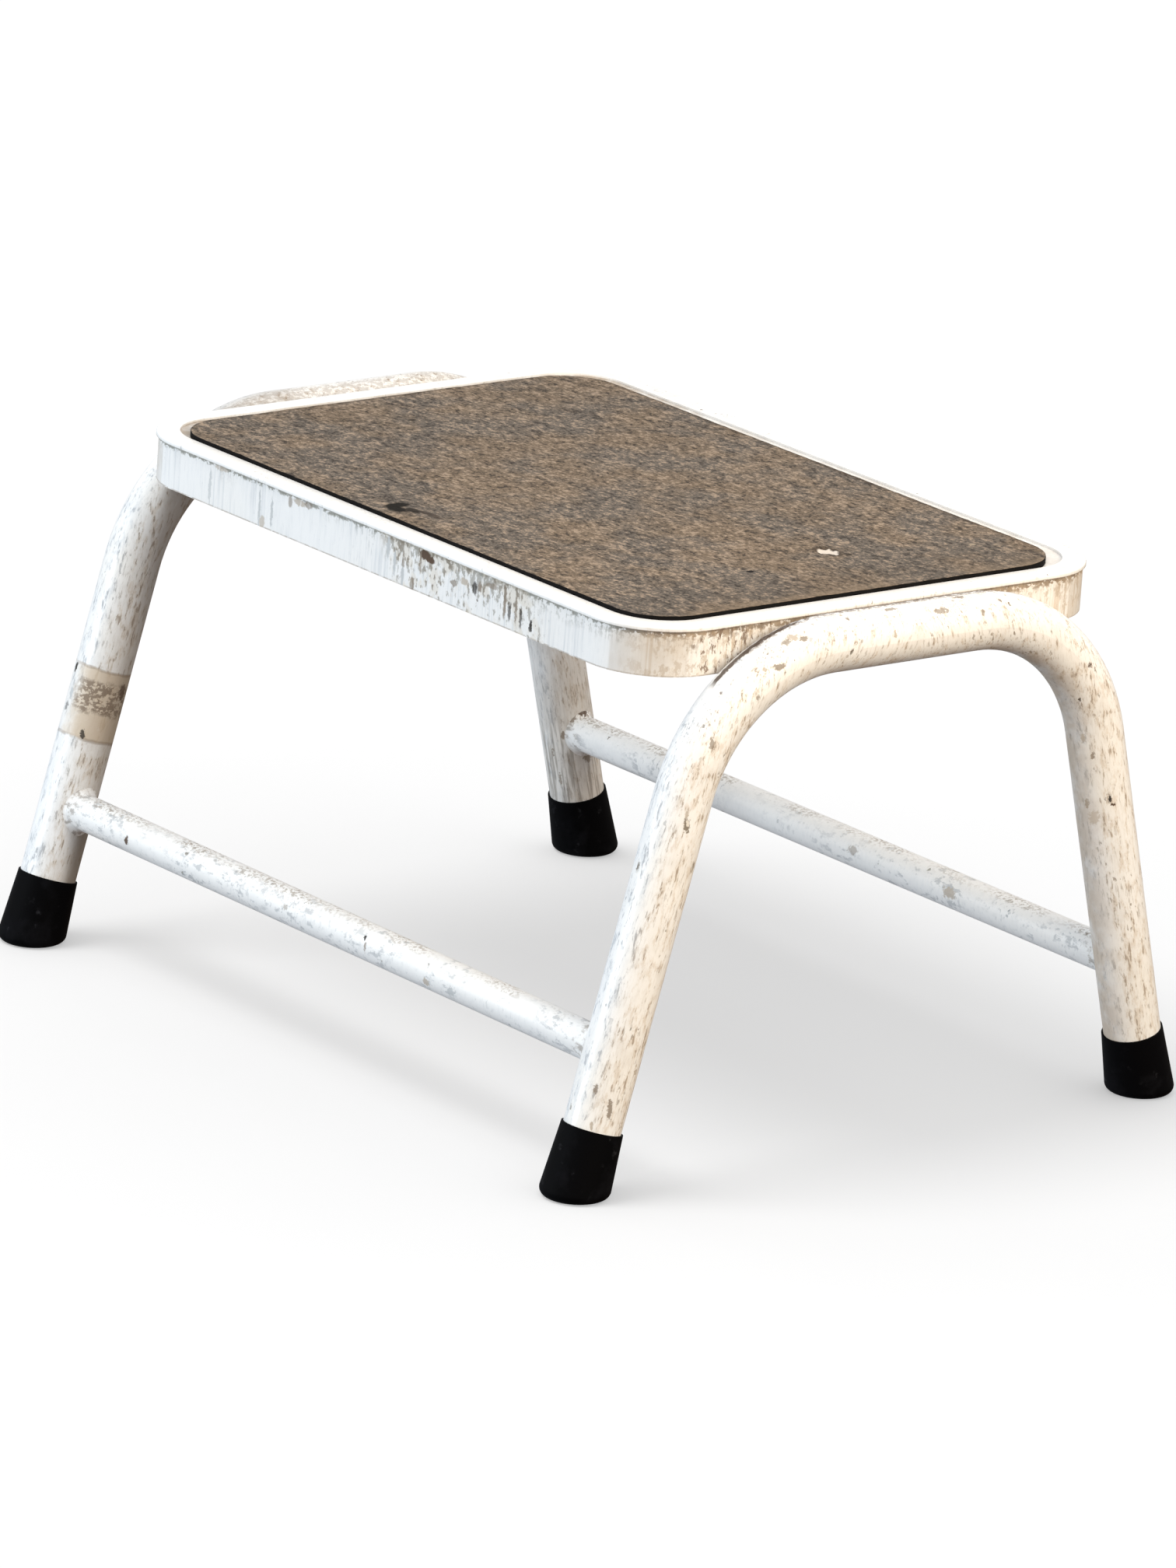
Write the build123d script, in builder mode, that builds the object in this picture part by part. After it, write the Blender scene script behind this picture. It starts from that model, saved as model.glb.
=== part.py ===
"""Mounting block: a low step for getting on a horse.

A pressed steel tray with a rubber mat stands between two end frames of bent tube. Two thinner
tubes tie the frames together near the floor, and every leg stands in a rubber ferrule.

Millimetres. +Z is up, +X points to the right end and -Y to the front, where the rider steps up.
The origin is on the floor, under the middle of the step.
"""

import os
from math import cos, radians, sin, sqrt, tan

from build123d import *

# Driving dimensions

step_height = 241.2  # floor to the top of the tray's rim

tray_length = 373.0  # over the rim, left to right
tray_width = 264.0  # over the rim, front to back
tray_depth = 22.3  # top of the rim to the bottom edge of the apron
tray_corner = 36.0  # plan radius of the rim's corners
sheet = 1.5  # steel thickness of the tray and its ribs
rim_width = 10.5  # flat border between the tray's edge and the recess
rim_overhang = 1.2  # how far the rim stands out past the apron
rim_lip = 2.2  # height of the rim's outer edge
rim_roll = 1.2  # rounding of the rim's upper edge
recess_depth = 1.2  # how far the tread is pressed down for the mat

mat_thickness = 3.0
mat_gap = 0.3  # between the mat and the recess at the right end and at the front
mat_left_gap = 7.6  # the mat was glued down off centre, so these two gaps are wide
mat_rear_gap = 9.4
mat_edge_round = 0.5

tube_diameter = 25.4
tube_wall = 1.6
bar_drop = 11.6  # top of the rim down to the centre line of a frame's top bar
shoulder_spread = 199.0  # between the points where the leg lines meet the bar's line
leg_splay = 14.5  # degrees, each leg from upright, front or back
bend_radius = 77.5  # on the tube's centre line
tube_rise = 9.0  # from the floor to the tube's cut end, along the leg

stretcher_diameter = 16.5
stretcher_wall = 1.5
stretcher_height = 61.7  # floor to centre line
stretcher_weld = 3.5  # radius of the weld around a stretcher's end
weld_seat = 0.05  # trimmed off the weld's two seats, so that its edges aren't feathered

bar_weld = 7.5  # how far the weld runs up or down the apron from the line of contact
bar_weld_root = 2.5  # where the weld starts, since the groove closes to nothing at the line

ferrule_height = 30.5  # from the floor to the lip, along the leg
ferrule_lip_wall = 0.9  # rubber around the tube at the lip
ferrule_flare = 3.4  # degrees, outer surface from the leg's line
ferrule_edge_round = 3.6
washer_thickness = 1.5
washer_hole = 8.0
washer_gap = 0.3  # between the washer's edge and the ferrule's bore

rib_spacing = 116.0  # between the centre lines of the two ribs
rib_crown = 24.0  # width over the webs
rib_flange = 11.0
rib_height = 13.0
rib_end_gap = 0.5  # between a rib's end and the apron

# Sizes that follow

apron_length = tray_length - 2 * rim_overhang
apron_width = tray_width - 2 * rim_overhang
apron_corner = tray_corner - rim_overhang
hollow_length = apron_length - 2 * sheet
hollow_width = apron_width - 2 * sheet
hollow_corner = apron_corner - sheet
recess_length = tray_length - 2 * rim_width
recess_width = tray_width - 2 * rim_width
recess_corner = tray_corner - rim_width
tread_height = step_height - recess_depth
tread_underside = tread_height - sheet

mat_length = recess_length - mat_gap - mat_left_gap
mat_width = recess_width - mat_gap - mat_rear_gap
mat_corner = recess_corner - mat_gap
mat_x = (mat_left_gap - mat_gap) / 2
mat_y = (mat_gap - mat_rear_gap) / 2

tube_radius = tube_diameter / 2
frame_x = apron_length / 2 + tube_radius
bar_height = step_height - bar_drop
shoulder_y = shoulder_spread / 2
foot_y = shoulder_y + bar_height * tan(radians(leg_splay))
bend_tangent = bend_radius * tan(radians(90 - leg_splay) / 2)
bar_straight = shoulder_spread - 2 * bend_tangent
stretcher_y = foot_y - stretcher_height * tan(radians(leg_splay))

ENDS = {"left": -1, "right": 1}
SIDES = {"front": -1, "rear": 1}

os.makedirs("parts", exist_ok=True)


def save(piece, label):
    """Name a finished piece and write its STEP file."""
    piece.part.label = label
    export_step(piece.part, f"parts/{label}.step")


def leg_plane(end, side, up=0.0):
    """A plane square to one leg, its origin on the leg's centre line, +Z up the leg.

    With up at 0 the origin is where the centre line meets the floor."""
    lean = Vector(0, -side * sin(radians(leg_splay)), cos(radians(leg_splay)))
    foot = Vector(end * frame_x, side * foot_y, 0)
    return Plane(origin=foot + lean * up, x_dir=(1, 0, 0), z_dir=lean)


def stretcher_plane(end, side):
    """A plane square to a stretcher where its centre line meets a leg's, +Z to the middle."""
    origin = (end * frame_x, side * stretcher_y, stretcher_height)
    return Plane(origin=origin, x_dir=(0, 1, 0), z_dir=(-end, 0, 0))


# Tray: a shallow pan turned upside down, its tread pressed down inside the rim

with BuildPart() as tray:
    with BuildSketch(Plane.XY.offset(step_height)):
        RectangleRounded(tray_length, tray_width, tray_corner)
    extrude(amount=-rim_lip)
    fillet(tray.edges().group_by(Axis.Z)[-1], radius=rim_roll)
    with BuildSketch(Plane.XY.offset(step_height - rim_lip)):
        RectangleRounded(apron_length, apron_width, apron_corner)
    extrude(amount=rim_lip - tray_depth)
    # The hollow under the tread
    with BuildSketch(Plane.XY.offset(step_height - tray_depth)):
        RectangleRounded(hollow_length, hollow_width, hollow_corner)
    extrude(amount=tray_depth - recess_depth - sheet, mode=Mode.SUBTRACT)
    # The hollow reaches higher under the rim, around the pressed step of the tread
    with BuildSketch(Plane.XY.offset(tread_underside)):
        RectangleRounded(hollow_length, hollow_width, hollow_corner)
        RectangleRounded(
            recess_length + 2 * sheet,
            recess_width + 2 * sheet,
            recess_corner + sheet,
            mode=Mode.SUBTRACT,
        )
    extrude(amount=recess_depth, mode=Mode.SUBTRACT)
    # The recess that holds the mat
    with BuildSketch(Plane.XY.offset(step_height)):
        RectangleRounded(recess_length, recess_width, recess_corner)
    extrude(amount=-recess_depth, mode=Mode.SUBTRACT)
save(tray, "tray")

# Rubber mat: lies on the pressed tread, its top proud of the rim. It meets the recess at the
# right end and at the front, and leaves part of the recess bare at the left end and at the rear

with BuildPart() as mat:
    with BuildSketch(Plane(origin=(mat_x, mat_y, tread_height))):
        RectangleRounded(mat_length, mat_width, mat_corner)
    extrude(amount=mat_thickness)
    fillet(mat.edges().group_by(Axis.Z)[-1], radius=mat_edge_round)
save(mat, "rubber_mat")

# Ribs: two hat sections under the tread, from one end of the tray to the other

for side_name, side in SIDES.items():
    rib_length = hollow_length - 2 * rib_end_gap
    rib_start = Plane(
        origin=(-rib_length / 2, side * rib_spacing / 2, tread_underside),
        x_dir=(0, 1, 0),
        z_dir=(1, 0, 0),
    )
    web_shift = (rib_crown - sheet) / 2
    flange_shift = (rib_crown + rib_flange) / 2
    with BuildPart() as rib:
        with BuildSketch(rib_start):
            with Locations((-flange_shift, 0), (flange_shift, 0)):
                Rectangle(rib_flange, sheet, align=(Align.CENTER, Align.MAX))
            with Locations((-web_shift, 0), (web_shift, 0)):
                Rectangle(sheet, rib_height, align=(Align.CENTER, Align.MAX))
            with Locations((0, -rib_height)):
                Rectangle(rib_crown, sheet, align=(Align.CENTER, Align.MIN))
        extrude(amount=rib_length)
    save(rib, f"{side_name}_tread_rib")

# End frames: one tube each, bent to an upside-down U with splayed legs

for end_name, end in ENDS.items():
    front_end = leg_plane(end, SIDES["front"], tube_rise)
    rear_end = leg_plane(end, SIDES["rear"], tube_rise)
    with BuildPart() as end_frame:
        with BuildLine() as centre_line:
            FilletPolyline(
                front_end.origin,
                (end * frame_x, -shoulder_y, bar_height),
                (end * frame_x, shoulder_y, bar_height),
                rear_end.origin,
                radius=bend_radius,
            )
        with BuildSketch(front_end):
            Circle(tube_radius)
            Circle(tube_radius - tube_wall, mode=Mode.SUBTRACT)
        sweep(path=centre_line.line)
    save(end_frame, f"{end_name}_end_frame")

# Stretchers: thinner tubes, their ends cut to sit against the round of the legs

for side_name, side in SIDES.items():
    with BuildPart() as stretcher:
        with BuildSketch(stretcher_plane(ENDS["left"], side)):
            Circle(stretcher_diameter / 2)
            Circle(stretcher_diameter / 2 - stretcher_wall, mode=Mode.SUBTRACT)
        extrude(amount=2 * frame_x)
        for end in ENDS.values():
            with BuildSketch(leg_plane(end, side)):
                Circle(tube_radius)
            extrude(amount=2 * stretcher_height, mode=Mode.SUBTRACT)
    save(stretcher, f"{side_name}_stretcher")

# Stretcher welds: the hollow-faced ring of metal where a stretcher meets a leg

weld_reach = stretcher_diameter / 2 + 3 * stretcher_weld
for side_name, side in SIDES.items():
    for end_name, end in ENDS.items():
        crossing = leg_plane(end, side, stretcher_height / cos(radians(leg_splay)))
        with BuildPart() as weld:
            # The two tubes as solid bars, with the hollow-faced weld between them
            with BuildSketch(crossing):
                Circle(tube_radius)
            extrude(amount=weld_reach, both=True)
            with BuildSketch(stretcher_plane(end, side)):
                Circle(stretcher_diameter / 2)
            extrude(amount=tube_radius + weld_reach)
            junction = weld.edges().filter_by(GeomType.BSPLINE)
            fillet(junction, radius=stretcher_weld)
            # The bars come away again and leave the weld
            with BuildSketch(crossing):
                Circle(tube_radius + weld_seat)
            extrude(amount=weld_reach, both=True, mode=Mode.SUBTRACT)
            with BuildSketch(stretcher_plane(end, side)):
                Circle(stretcher_diameter / 2 + weld_seat)
            extrude(amount=tube_radius + weld_reach, mode=Mode.SUBTRACT)
        save(weld, f"{side_name}_{end_name}_stretcher_weld")

# Bar welds: beads in the grooves above and below the line where a top bar touches the apron

bead_width = tube_radius - sqrt(tube_radius**2 - bar_weld**2)
for end_name, end in ENDS.items():
    for bead_name, up in {"upper": 1, "lower": -1}.items():
        bead_start = Plane(
            origin=(end * apron_length / 2, -bar_straight / 2, bar_height),
            x_dir=(end, 0, 0),
            z_dir=(0, 1, 0),
        )
        # This plane's X runs out from the apron, and its Y is down on the right end
        away = Align.MIN if up * end < 0 else Align.MAX
        with BuildPart() as bead:
            with BuildSketch(bead_start):
                with Locations((0, -up * end * bar_weld_root)):
                    Rectangle(bead_width, bar_weld - bar_weld_root, align=(Align.MIN, away))
                with Locations((tube_radius, 0)):
                    Circle(tube_radius, mode=Mode.SUBTRACT)
            extrude(amount=bar_straight)
        save(bead, f"{end_name}_bar_{bead_name}_weld")

# Ferrules: tapered rubber cups, cut flat where they stand, with a steel washer inside

for side_name, side in SIDES.items():
    for end_name, end in ENDS.items():
        lip = leg_plane(end, side, ferrule_height)
        below_floor = ferrule_height + tube_diameter
        with BuildPart() as ferrule:
            with BuildSketch(lip):
                Circle(tube_radius + ferrule_lip_wall)
            extrude(amount=-below_floor, taper=-ferrule_flare)
            split(bisect_by=Plane.XY, keep=Keep.TOP)
            fillet(ferrule.edges().group_by(Axis.Z)[0], radius=ferrule_edge_round)
            with BuildSketch(lip):
                Circle(tube_radius)
            extrude(
                amount=tube_rise - washer_thickness - ferrule_height,
                mode=Mode.SUBTRACT,
            )
        save(ferrule, f"{side_name}_{end_name}_ferrule")

        with BuildPart() as washer:
            with BuildSketch(leg_plane(end, side, tube_rise)):
                Circle(tube_radius - washer_gap)
                Circle(washer_hole / 2, mode=Mode.SUBTRACT)
            extrude(amount=-washer_thickness)
        save(washer, f"{side_name}_{end_name}_ferrule_washer")
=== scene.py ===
# %% [markdown]
# # An old painted step with a rubber tread
#
# The real thing is a low steel step: a pressed tray on two bent-tube end frames, tied by two thin
# stretchers, with a worn rubber mat let into the top and black rubber ferrules on the feet. The
# engineering model already gives every solid its true place and size, so this lesson adds what a
# camera sees: the wear in old paint and rubber, and the few pieces whose real shape is too soft
# or too rough for a CAD solid. We load that model first, and keep its box, because nothing here
# may make the object bigger than it.

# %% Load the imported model
import math

import bpy
from mathutils import Matrix, Quaternion, Vector, noise


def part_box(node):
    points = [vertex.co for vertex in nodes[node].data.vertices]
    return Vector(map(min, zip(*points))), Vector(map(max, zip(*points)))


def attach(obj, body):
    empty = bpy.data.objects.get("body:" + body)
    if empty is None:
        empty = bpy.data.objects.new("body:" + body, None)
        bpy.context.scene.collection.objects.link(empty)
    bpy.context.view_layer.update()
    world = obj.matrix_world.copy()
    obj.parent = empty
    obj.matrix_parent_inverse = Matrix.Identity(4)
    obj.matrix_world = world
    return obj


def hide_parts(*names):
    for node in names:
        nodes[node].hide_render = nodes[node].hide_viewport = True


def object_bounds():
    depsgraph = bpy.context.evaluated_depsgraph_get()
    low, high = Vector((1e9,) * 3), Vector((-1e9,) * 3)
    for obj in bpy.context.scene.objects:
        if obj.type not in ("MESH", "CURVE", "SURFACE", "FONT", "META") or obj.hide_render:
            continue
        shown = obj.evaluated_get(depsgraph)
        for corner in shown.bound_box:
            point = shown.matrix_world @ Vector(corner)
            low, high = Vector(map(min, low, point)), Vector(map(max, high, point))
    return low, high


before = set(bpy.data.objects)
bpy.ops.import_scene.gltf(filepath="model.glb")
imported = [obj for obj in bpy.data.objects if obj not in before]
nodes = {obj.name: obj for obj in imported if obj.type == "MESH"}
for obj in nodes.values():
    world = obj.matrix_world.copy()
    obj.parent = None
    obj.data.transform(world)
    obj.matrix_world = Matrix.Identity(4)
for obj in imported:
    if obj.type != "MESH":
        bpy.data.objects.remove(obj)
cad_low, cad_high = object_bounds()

MM = 0.001
print("step is", [round((high - low) / MM, 1) for low, high in zip(cad_low, cad_high)], "mm")

# %% [markdown]
# ## The sizes that the wear is measured from
#
# Dirt and chips sit where the shape puts them: under the rolled rim, in the groove between tube
# and tray, at the foot of a leg. So we read those places from the frame once, and give them the
# names that a metalworker would use. Only three small sizes can't be read from a box: how far the
# rim stands out over the apron, how deep its lip is, and how far the legs lean.

# %% Read the main lines of the step
tray_low, tray_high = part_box("tray")
mat_low, mat_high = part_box("rubber_mat")
tube_low, tube_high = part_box("right_end_frame")
stretcher_low, stretcher_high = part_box("front_stretcher")

RIM_OVERHANG = 1.2 * MM
RIM_LIP = 2.2 * MM
LEG_LEAN = math.radians(14.5)

tube_radius = (tube_high.x - tube_low.x) / 2
bar_x = (tube_high.x + tube_low.x) / 2
bar_z = tube_high.z - tube_radius
apron_x = tray_high.x - RIM_OVERHANG
apron_y = tray_high.y - RIM_OVERHANG
lip_z = tray_high.z - RIM_LIP
apron_foot_z = tray_low.z
stretcher_z = (stretcher_low.z + stretcher_high.z) / 2
print("tube radius", round(tube_radius / MM, 2), "bar height", round(bar_z / MM, 1), "mm")

# %% [markdown]
# ## Shader maths as plain expressions
#
# Every finish below is worked out from the place on the surface: how high it is, how near an edge,
# and a few kinds of noise. In the shader editor that means dozens of Math nodes. A small class that
# wraps a socket and overloads the operators lets us write `1 - mask * 0.5` instead, and the nodes
# appear as we go. A second class holds one material and makes every other node through one method.

# %% Signal: a socket that knows arithmetic
class Signal:
    """A socket's output in a finish; arithmetic on it adds Math nodes to that finish."""

    def __init__(self, finish, socket):
        self.finish = finish
        self.socket = socket

    def maths(self, operation, first, second):
        return self.finish.node("ShaderNodeMath", {"operation": operation}, {0: first, 1: second})

    def __add__(self, other):
        return self.maths("ADD", self, other)

    def __radd__(self, other):
        return self.maths("ADD", other, self)

    def __sub__(self, other):
        return self.maths("SUBTRACT", self, other)

    def __rsub__(self, other):
        return self.maths("SUBTRACT", other, self)

    def __mul__(self, other):
        return self.maths("MULTIPLY", self, other)

    def __rmul__(self, other):
        return self.maths("MULTIPLY", other, self)

    def __truediv__(self, other):
        return self.maths("DIVIDE", self, other)

    def __abs__(self):
        return self.maths("ABSOLUTE", self, 0.0)


# %% Finish: one material and the nodes in it
def socket_of(sockets, key):
    """A node's socket, by its number, its identifier or its name."""
    if isinstance(key, int):
        return sockets[key]
    for socket in sockets:
        if socket.identifier == key:
            return socket
    return sockets[key]


class Finish:
    """A material in the making, with the place on the surface in metres as x, y and z."""

    def __init__(self, name):
        self.material = bpy.data.materials.new(name)
        self.material.use_nodes = True
        self.tree = self.material.node_tree
        self.shader = self.tree.nodes["Principled BSDF"]
        self.place = self.node("ShaderNodeTexCoord", output="Object")
        split = {0: self.place}
        self.x, self.y, self.z = (self.node("ShaderNodeSeparateXYZ", None, split, axis) for axis in "XYZ")

    def feed(self, socket, value):
        if isinstance(value, Signal):
            self.tree.links.new(value.socket, socket)
        elif socket.type == "RGBA":
            socket.default_value = (*value, 1.0)
        else:
            socket.default_value = value

    def node(self, kind, settings=None, inputs=None, output=0):
        """Adds a node, sets it, fills or links its sockets, and gives back one output."""
        made = self.tree.nodes.new(kind)
        for name, value in (settings or {}).items():
            setattr(made, name, value)
        for name, value in (inputs or {}).items():
            self.feed(socket_of(made.inputs, name), value)
        return Signal(self, socket_of(made.outputs, output))

    def set(self, **sockets):
        """Fills or links sockets of the main shader, named with _ for a space."""
        for name, value in sockets.items():
            self.feed(self.shader.inputs[name.replace("_", " ")], value)

    def rise(self, value, low, high):
        """0 at low, 1 at high, smooth between; low may be the larger of the two."""
        inputs = {"Value": value, "From Min": low, "From Max": high}
        return self.node("ShaderNodeMapRange", {"interpolation_type": "SMOOTHSTEP"}, inputs, "Result")

    def most(self, first, second):
        return self.node("ShaderNodeMath", {"operation": "MAXIMUM"}, {0: first, 1: second})

    def blend(self, amount, under, over):
        """The colour over laid on the colour under, by amount."""
        inputs = {"Factor_Float": amount, "A_Color": under, "B_Color": over}
        return self.node("ShaderNodeMix", {"data_type": "RGBA"}, inputs, "Result_Color")

    def lay(self, amount, colour):
        """Lays a colour on the finish's own colour, by amount."""
        self.colour = self.blend(amount, self.colour, colour)

    def vectors(self, operation, first, second=None, third=None, output="Vector"):
        """A Vector Math node on one to three vectors."""
        given = enumerate((first, second, third))
        inputs = {number: vector for number, vector in given if vector is not None}
        return self.node("ShaderNodeVectorMath", {"operation": operation}, inputs, output)

    def place_in(self, size, shift=0.0, where=None):
        """The place counted in steps of size (in mm, one for all ways or one each way), moved on
        by shift."""
        sizes = size if isinstance(size, tuple) else (size, size, size)
        steps = tuple(1 / (length * MM) for length in sizes)
        moved = (shift, shift * 1.7, shift * 2.3)
        return self.vectors("MULTIPLY_ADD", where or self.place, steps, moved)

    def noise(self, size, shift=0.0, detail=2.0, roughness=0.5, where=None, output="Fac"):
        """Smooth noise whose lumps are about size mm across; it runs from about 0.2 to 0.8."""
        inputs = {"Vector": self.place_in(size, shift, where), "Scale": 1.0, "Detail": detail,
                  "Roughness": roughness}
        return self.node("ShaderNodeTexNoise", None, inputs, output)

    def ragged(self, size, amount, shift=0.0, where=None):
        """The place, pushed about by noise, so that what is drawn with it gets ragged edges. The
        noise's size and the amount of push are in mm."""
        push = self.noise(size, shift, 3.0, 0.6, where, "Color")
        centred = self.vectors("SUBTRACT", push, (0.5, 0.5, 0.5))
        push_by = (amount * MM, amount * MM, amount * MM)
        return self.vectors("MULTIPLY_ADD", centred, push_by, where or self.place)

    def flecks(self, spacing, share, small, large, shift=0.0, where=None):
        """Scattered flecks: cells spacing mm apart, of which a share holds a fleck, whose radius
        runs from small to large parts of the spacing."""
        vector = self.place_in(spacing, shift, where)
        cell = {"Vector": vector, "Scale": 1.0}
        distance = self.node("ShaderNodeTexVoronoi", None, cell, "Distance")
        colour = self.node("ShaderNodeTexVoronoi", None, cell, "Color")
        chance = self.node("ShaderNodeSeparateColor", None, {0: colour}, "Red")
        luck = self.node("ShaderNodeSeparateColor", None, {0: colour}, "Green")
        radius = small + (large - small) * luck * luck
        return self.rise(distance, radius, radius * 0.55) * self.rise(chance, share, share - 0.02)

    def spot(self, where, centre, size):
        """How deep a place is inside an egg-shaped spot: 1 at its middle, 0 at its edge, and
        less outside. The centre and the half sizes are in metres."""
        steps = tuple(1 / length for length in size)
        moved = tuple(-middle / length for middle, length in zip(centre, size))
        inside = self.vectors("MULTIPLY_ADD", where, steps, moved)
        return 1 - self.vectors("LENGTH", inside, output="Value")

    def facing(self, way):
        """How squarely the surface faces a way: 1 straight at it, 0 edge on, -1 away from it."""
        normal = self.node("ShaderNodeNewGeometry", output="Normal")
        return self.vectors("DOT_PRODUCT", normal, way, output="Value")

    def bump(self, height, depth):
        """A normal from a height, where a height of 1 stands for depth in metres."""
        inputs = {"Strength": 1.0, "Distance": depth, "Height": height}
        return self.node("ShaderNodeBump", None, inputs, "Normal")


def paint_node(name, finish):
    """Gives a CAD node the finish, in every slot that it has."""
    for slot in nodes[name].material_slots:
        slot.material = finish.material


# %% [markdown]
# ## The colours of the wear
#
# White gloss paint goes cream with age, then it chips. What shows in a chip depends on how deep it
# is: grey primer, then bare steel that rusts brown. Road and stable dirt is a grey brown, and rain
# carries a thin cold grey down the sides. The dirt also carries painted light: on faces turned to the
# front and left it is painted a cool blue grey, and on faces turned to the warm-lit rear and right it
# stays a warm brown. These few colours are shared by the tray and the tubes, so that they look like
# one object that aged in one place.

# %% Name the colours
WHITE = (0.815, 0.82, 0.82)
CREAM = (0.80, 0.77, 0.71)
RAIN_GREY = (0.50, 0.52, 0.53)
DUST = (0.47, 0.42, 0.36)
GRIME = (0.24, 0.20, 0.16)
PRIMER = (0.36, 0.36, 0.33)
RUST = (0.10, 0.065, 0.045)
SOOT = (0.035, 0.030, 0.026)
COOL_LIT_GRIME = (0.31, 0.33, 0.35)
COOL_LIT_DUST = (0.55, 0.58, 0.61)

# %% Name the ways that a surface may face
UP = (0.0, 0.0, 1.0)
# The way that the warm light comes from. Dirt on faces turned towards it is painted warm brown, and dirt
# on faces turned away is painted cool blue grey, which is painted light.
WARM_LIGHT_SIDE = (0.77, 0.64, 0.0)
DOWN_AND_IN = (-0.35, -0.45, -0.82)
print("the dry side is", round(math.degrees(math.atan2(WARM_LIGHT_SIDE[1], WARM_LIGHT_SIDE[0]))), "degrees from +X")

# %% [markdown]
# ## Old white paint
#
# Both tray and tubes start from the same coat. It is made of layers, as the real one is: a white
# that drifts to cream, a film of dust in soft smudges, fine strokes that run the way the piece
# was brushed and rained on, brown flecks, and a few deep chips. The finish keeps the layers, so
# that each piece can add its own dirt and painted shade on top before the shader is closed. Chips
# are cut into the bump, because the coat is thick and its broken edge catches light. The dirt's
# colour is painted light: brown where the surface faces the warm-lit side and blue grey where it
# faces away, and this depends only on the way that the surface faces.
#
# A noise runs from about 0.2 to 0.8, so a rise from 0.5 to 0.6 keeps its upper half, and a rise
# from 0.6 to 0.7 keeps a few islands. The second number that a noise is given is its shift, which
# is different each time, so that no two layers lie on top of each other.

# %% Old paint: the coat that tray and tubes share
PAINT_DEPTH = 0.16 * MM
CHIP_TO_FLECK = 3.2


class OldPaint(Finish):
    """A finish that starts as an aged white coat and takes more dirt and painted shade on top of it."""

    def lay_coat(self, grain, stroke_mm, fleck_mm, grimy=0.5, chippy=0.5, dusty=0.5, creamy=0.5):
        """Lays the coat. grain is the place that strokes are drawn in, and grimy, chippy, dusty
        and creamy say how much of each, from 0 to 1."""
        age = self.noise(70, 3.0, 2.0)
        smudge = self.noise(13, 11.0, 4.0, 0.6)
        patches = self.noise(30, 7.0, 3.0, 0.6)
        strokes = self.noise(stroke_mm, 5.0, 3.0, 0.65, grain)
        torn_place = self.ragged(2.0, 2.6, 2.0, grain)
        # Painted warm and cool light on the dirt: 1 where the surface faces the warm-lit side, 0 where it
        # faces away.
        warm_lit_side = self.rise(self.facing(WARM_LIGHT_SIDE), -0.35, 0.25)
        grime_with_painted_light = self.blend(warm_lit_side, COOL_LIT_GRIME, GRIME)
        dust_with_painted_light = self.blend(warm_lit_side, COOL_LIT_DUST, DUST)

        self.colour = self.blend(self.rise(age, 0.40, 0.70) * creamy, WHITE, CREAM)
        film = self.rise(smudge, 0.48, 0.72) * (0.45 * dusty)
        self.lay(film, dust_with_painted_light)
        fibre = self.rise(strokes, 0.46, 0.66) * (0.10 + 0.22 * dusty)
        self.lay(fibre, dust_with_painted_light)
        where_dirty = self.rise(patches, 0.56 - 0.20 * grimy, 0.72 - 0.20 * grimy)
        scrub = self.rise(strokes, 0.55, 0.66) * where_dirty * (0.30 + 0.6 * grimy)
        self.lay(scrub, grime_with_painted_light)
        freckle = self.flecks(fleck_mm, 0.14 + 0.34 * grimy, 0.08, 0.44, 1.0, torn_place)
        freckle = freckle * (0.30 + 0.70 * where_dirty)
        self.lay(freckle * 0.9, grime_with_painted_light)
        chip_mm = tuple(length * CHIP_TO_FLECK for length in fleck_mm)
        chips = self.flecks(chip_mm, 0.08 + 0.42 * chippy, 0.03, 0.24, 9.0, torn_place)
        chips = chips * self.rise(smudge, 0.40, 0.50)
        chip_colour = self.blend(self.rise(smudge, 0.45, 0.6), RUST, PRIMER)
        self.lay(chips, chip_colour)

        peel = self.noise(2.4, 21.0, 2.0)
        self.height = peel * 0.10 + strokes * 0.06 - chips - freckle * 0.25
        self.rough = 0.30 + film * 0.5 + scrub * 0.4 + chips * 0.4 + freckle * 0.3
        self.torn_place = torn_place
        self.strokes = strokes
        self.smudge = smudge
        self.patches = patches
        self.warm_lit_side = warm_lit_side

    def add_dirt_and_shade(self, amount, colour, depth=0.0):
        """Lays more dirt, a chip or painted shade of a colour on the coat; depth cuts it into the paint.
        """
        self.lay(amount, colour)
        self.rough = self.rough + amount * 0.35
        if depth:
            self.height = self.height - amount * depth

    def add_marks(self, marks):
        """Adds placed marks: middle in mm, half sizes in mm, colour and strength."""
        ragged = self.ragged(1.7, 2.0, 71.0)
        broken = (self.noise(1.3, 73.0, 3.0, 0.7) - 0.5) * 2.2
        for middle, half, colour, strength in marks:
            centre = tuple(value * MM for value in middle)
            size = tuple(value * MM for value in half)
            mark = self.rise(self.spot(ragged, centre, size) + broken, -0.05, 0.35)
            self.add_dirt_and_shade(mark * strength, colour, 0.4)

    def close_coat(self):
        """Joins the finished coat to the shader."""
        self.set(Base_Color=self.colour, Roughness=self.rough, Specular_IOR_Level=0.45,
                 Normal=self.bump(self.height, PAINT_DEPTH))


# %% [markdown]
# ## The tray
#
# The tray is one pressing: a flat rim that rolls over into a short lip, and an apron below it. A
# dark line is drawn in the crease under the lip, with a ragged fringe running down from it, and it
# is the darkest thing on the tray. At the ends it is brown; along the front it is grey. One stretch
# of the front has been knocked so often that the paint has come away. All this is on the apron
# only, so its mask leaves out the sheet's underside, which faces down.

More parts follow.
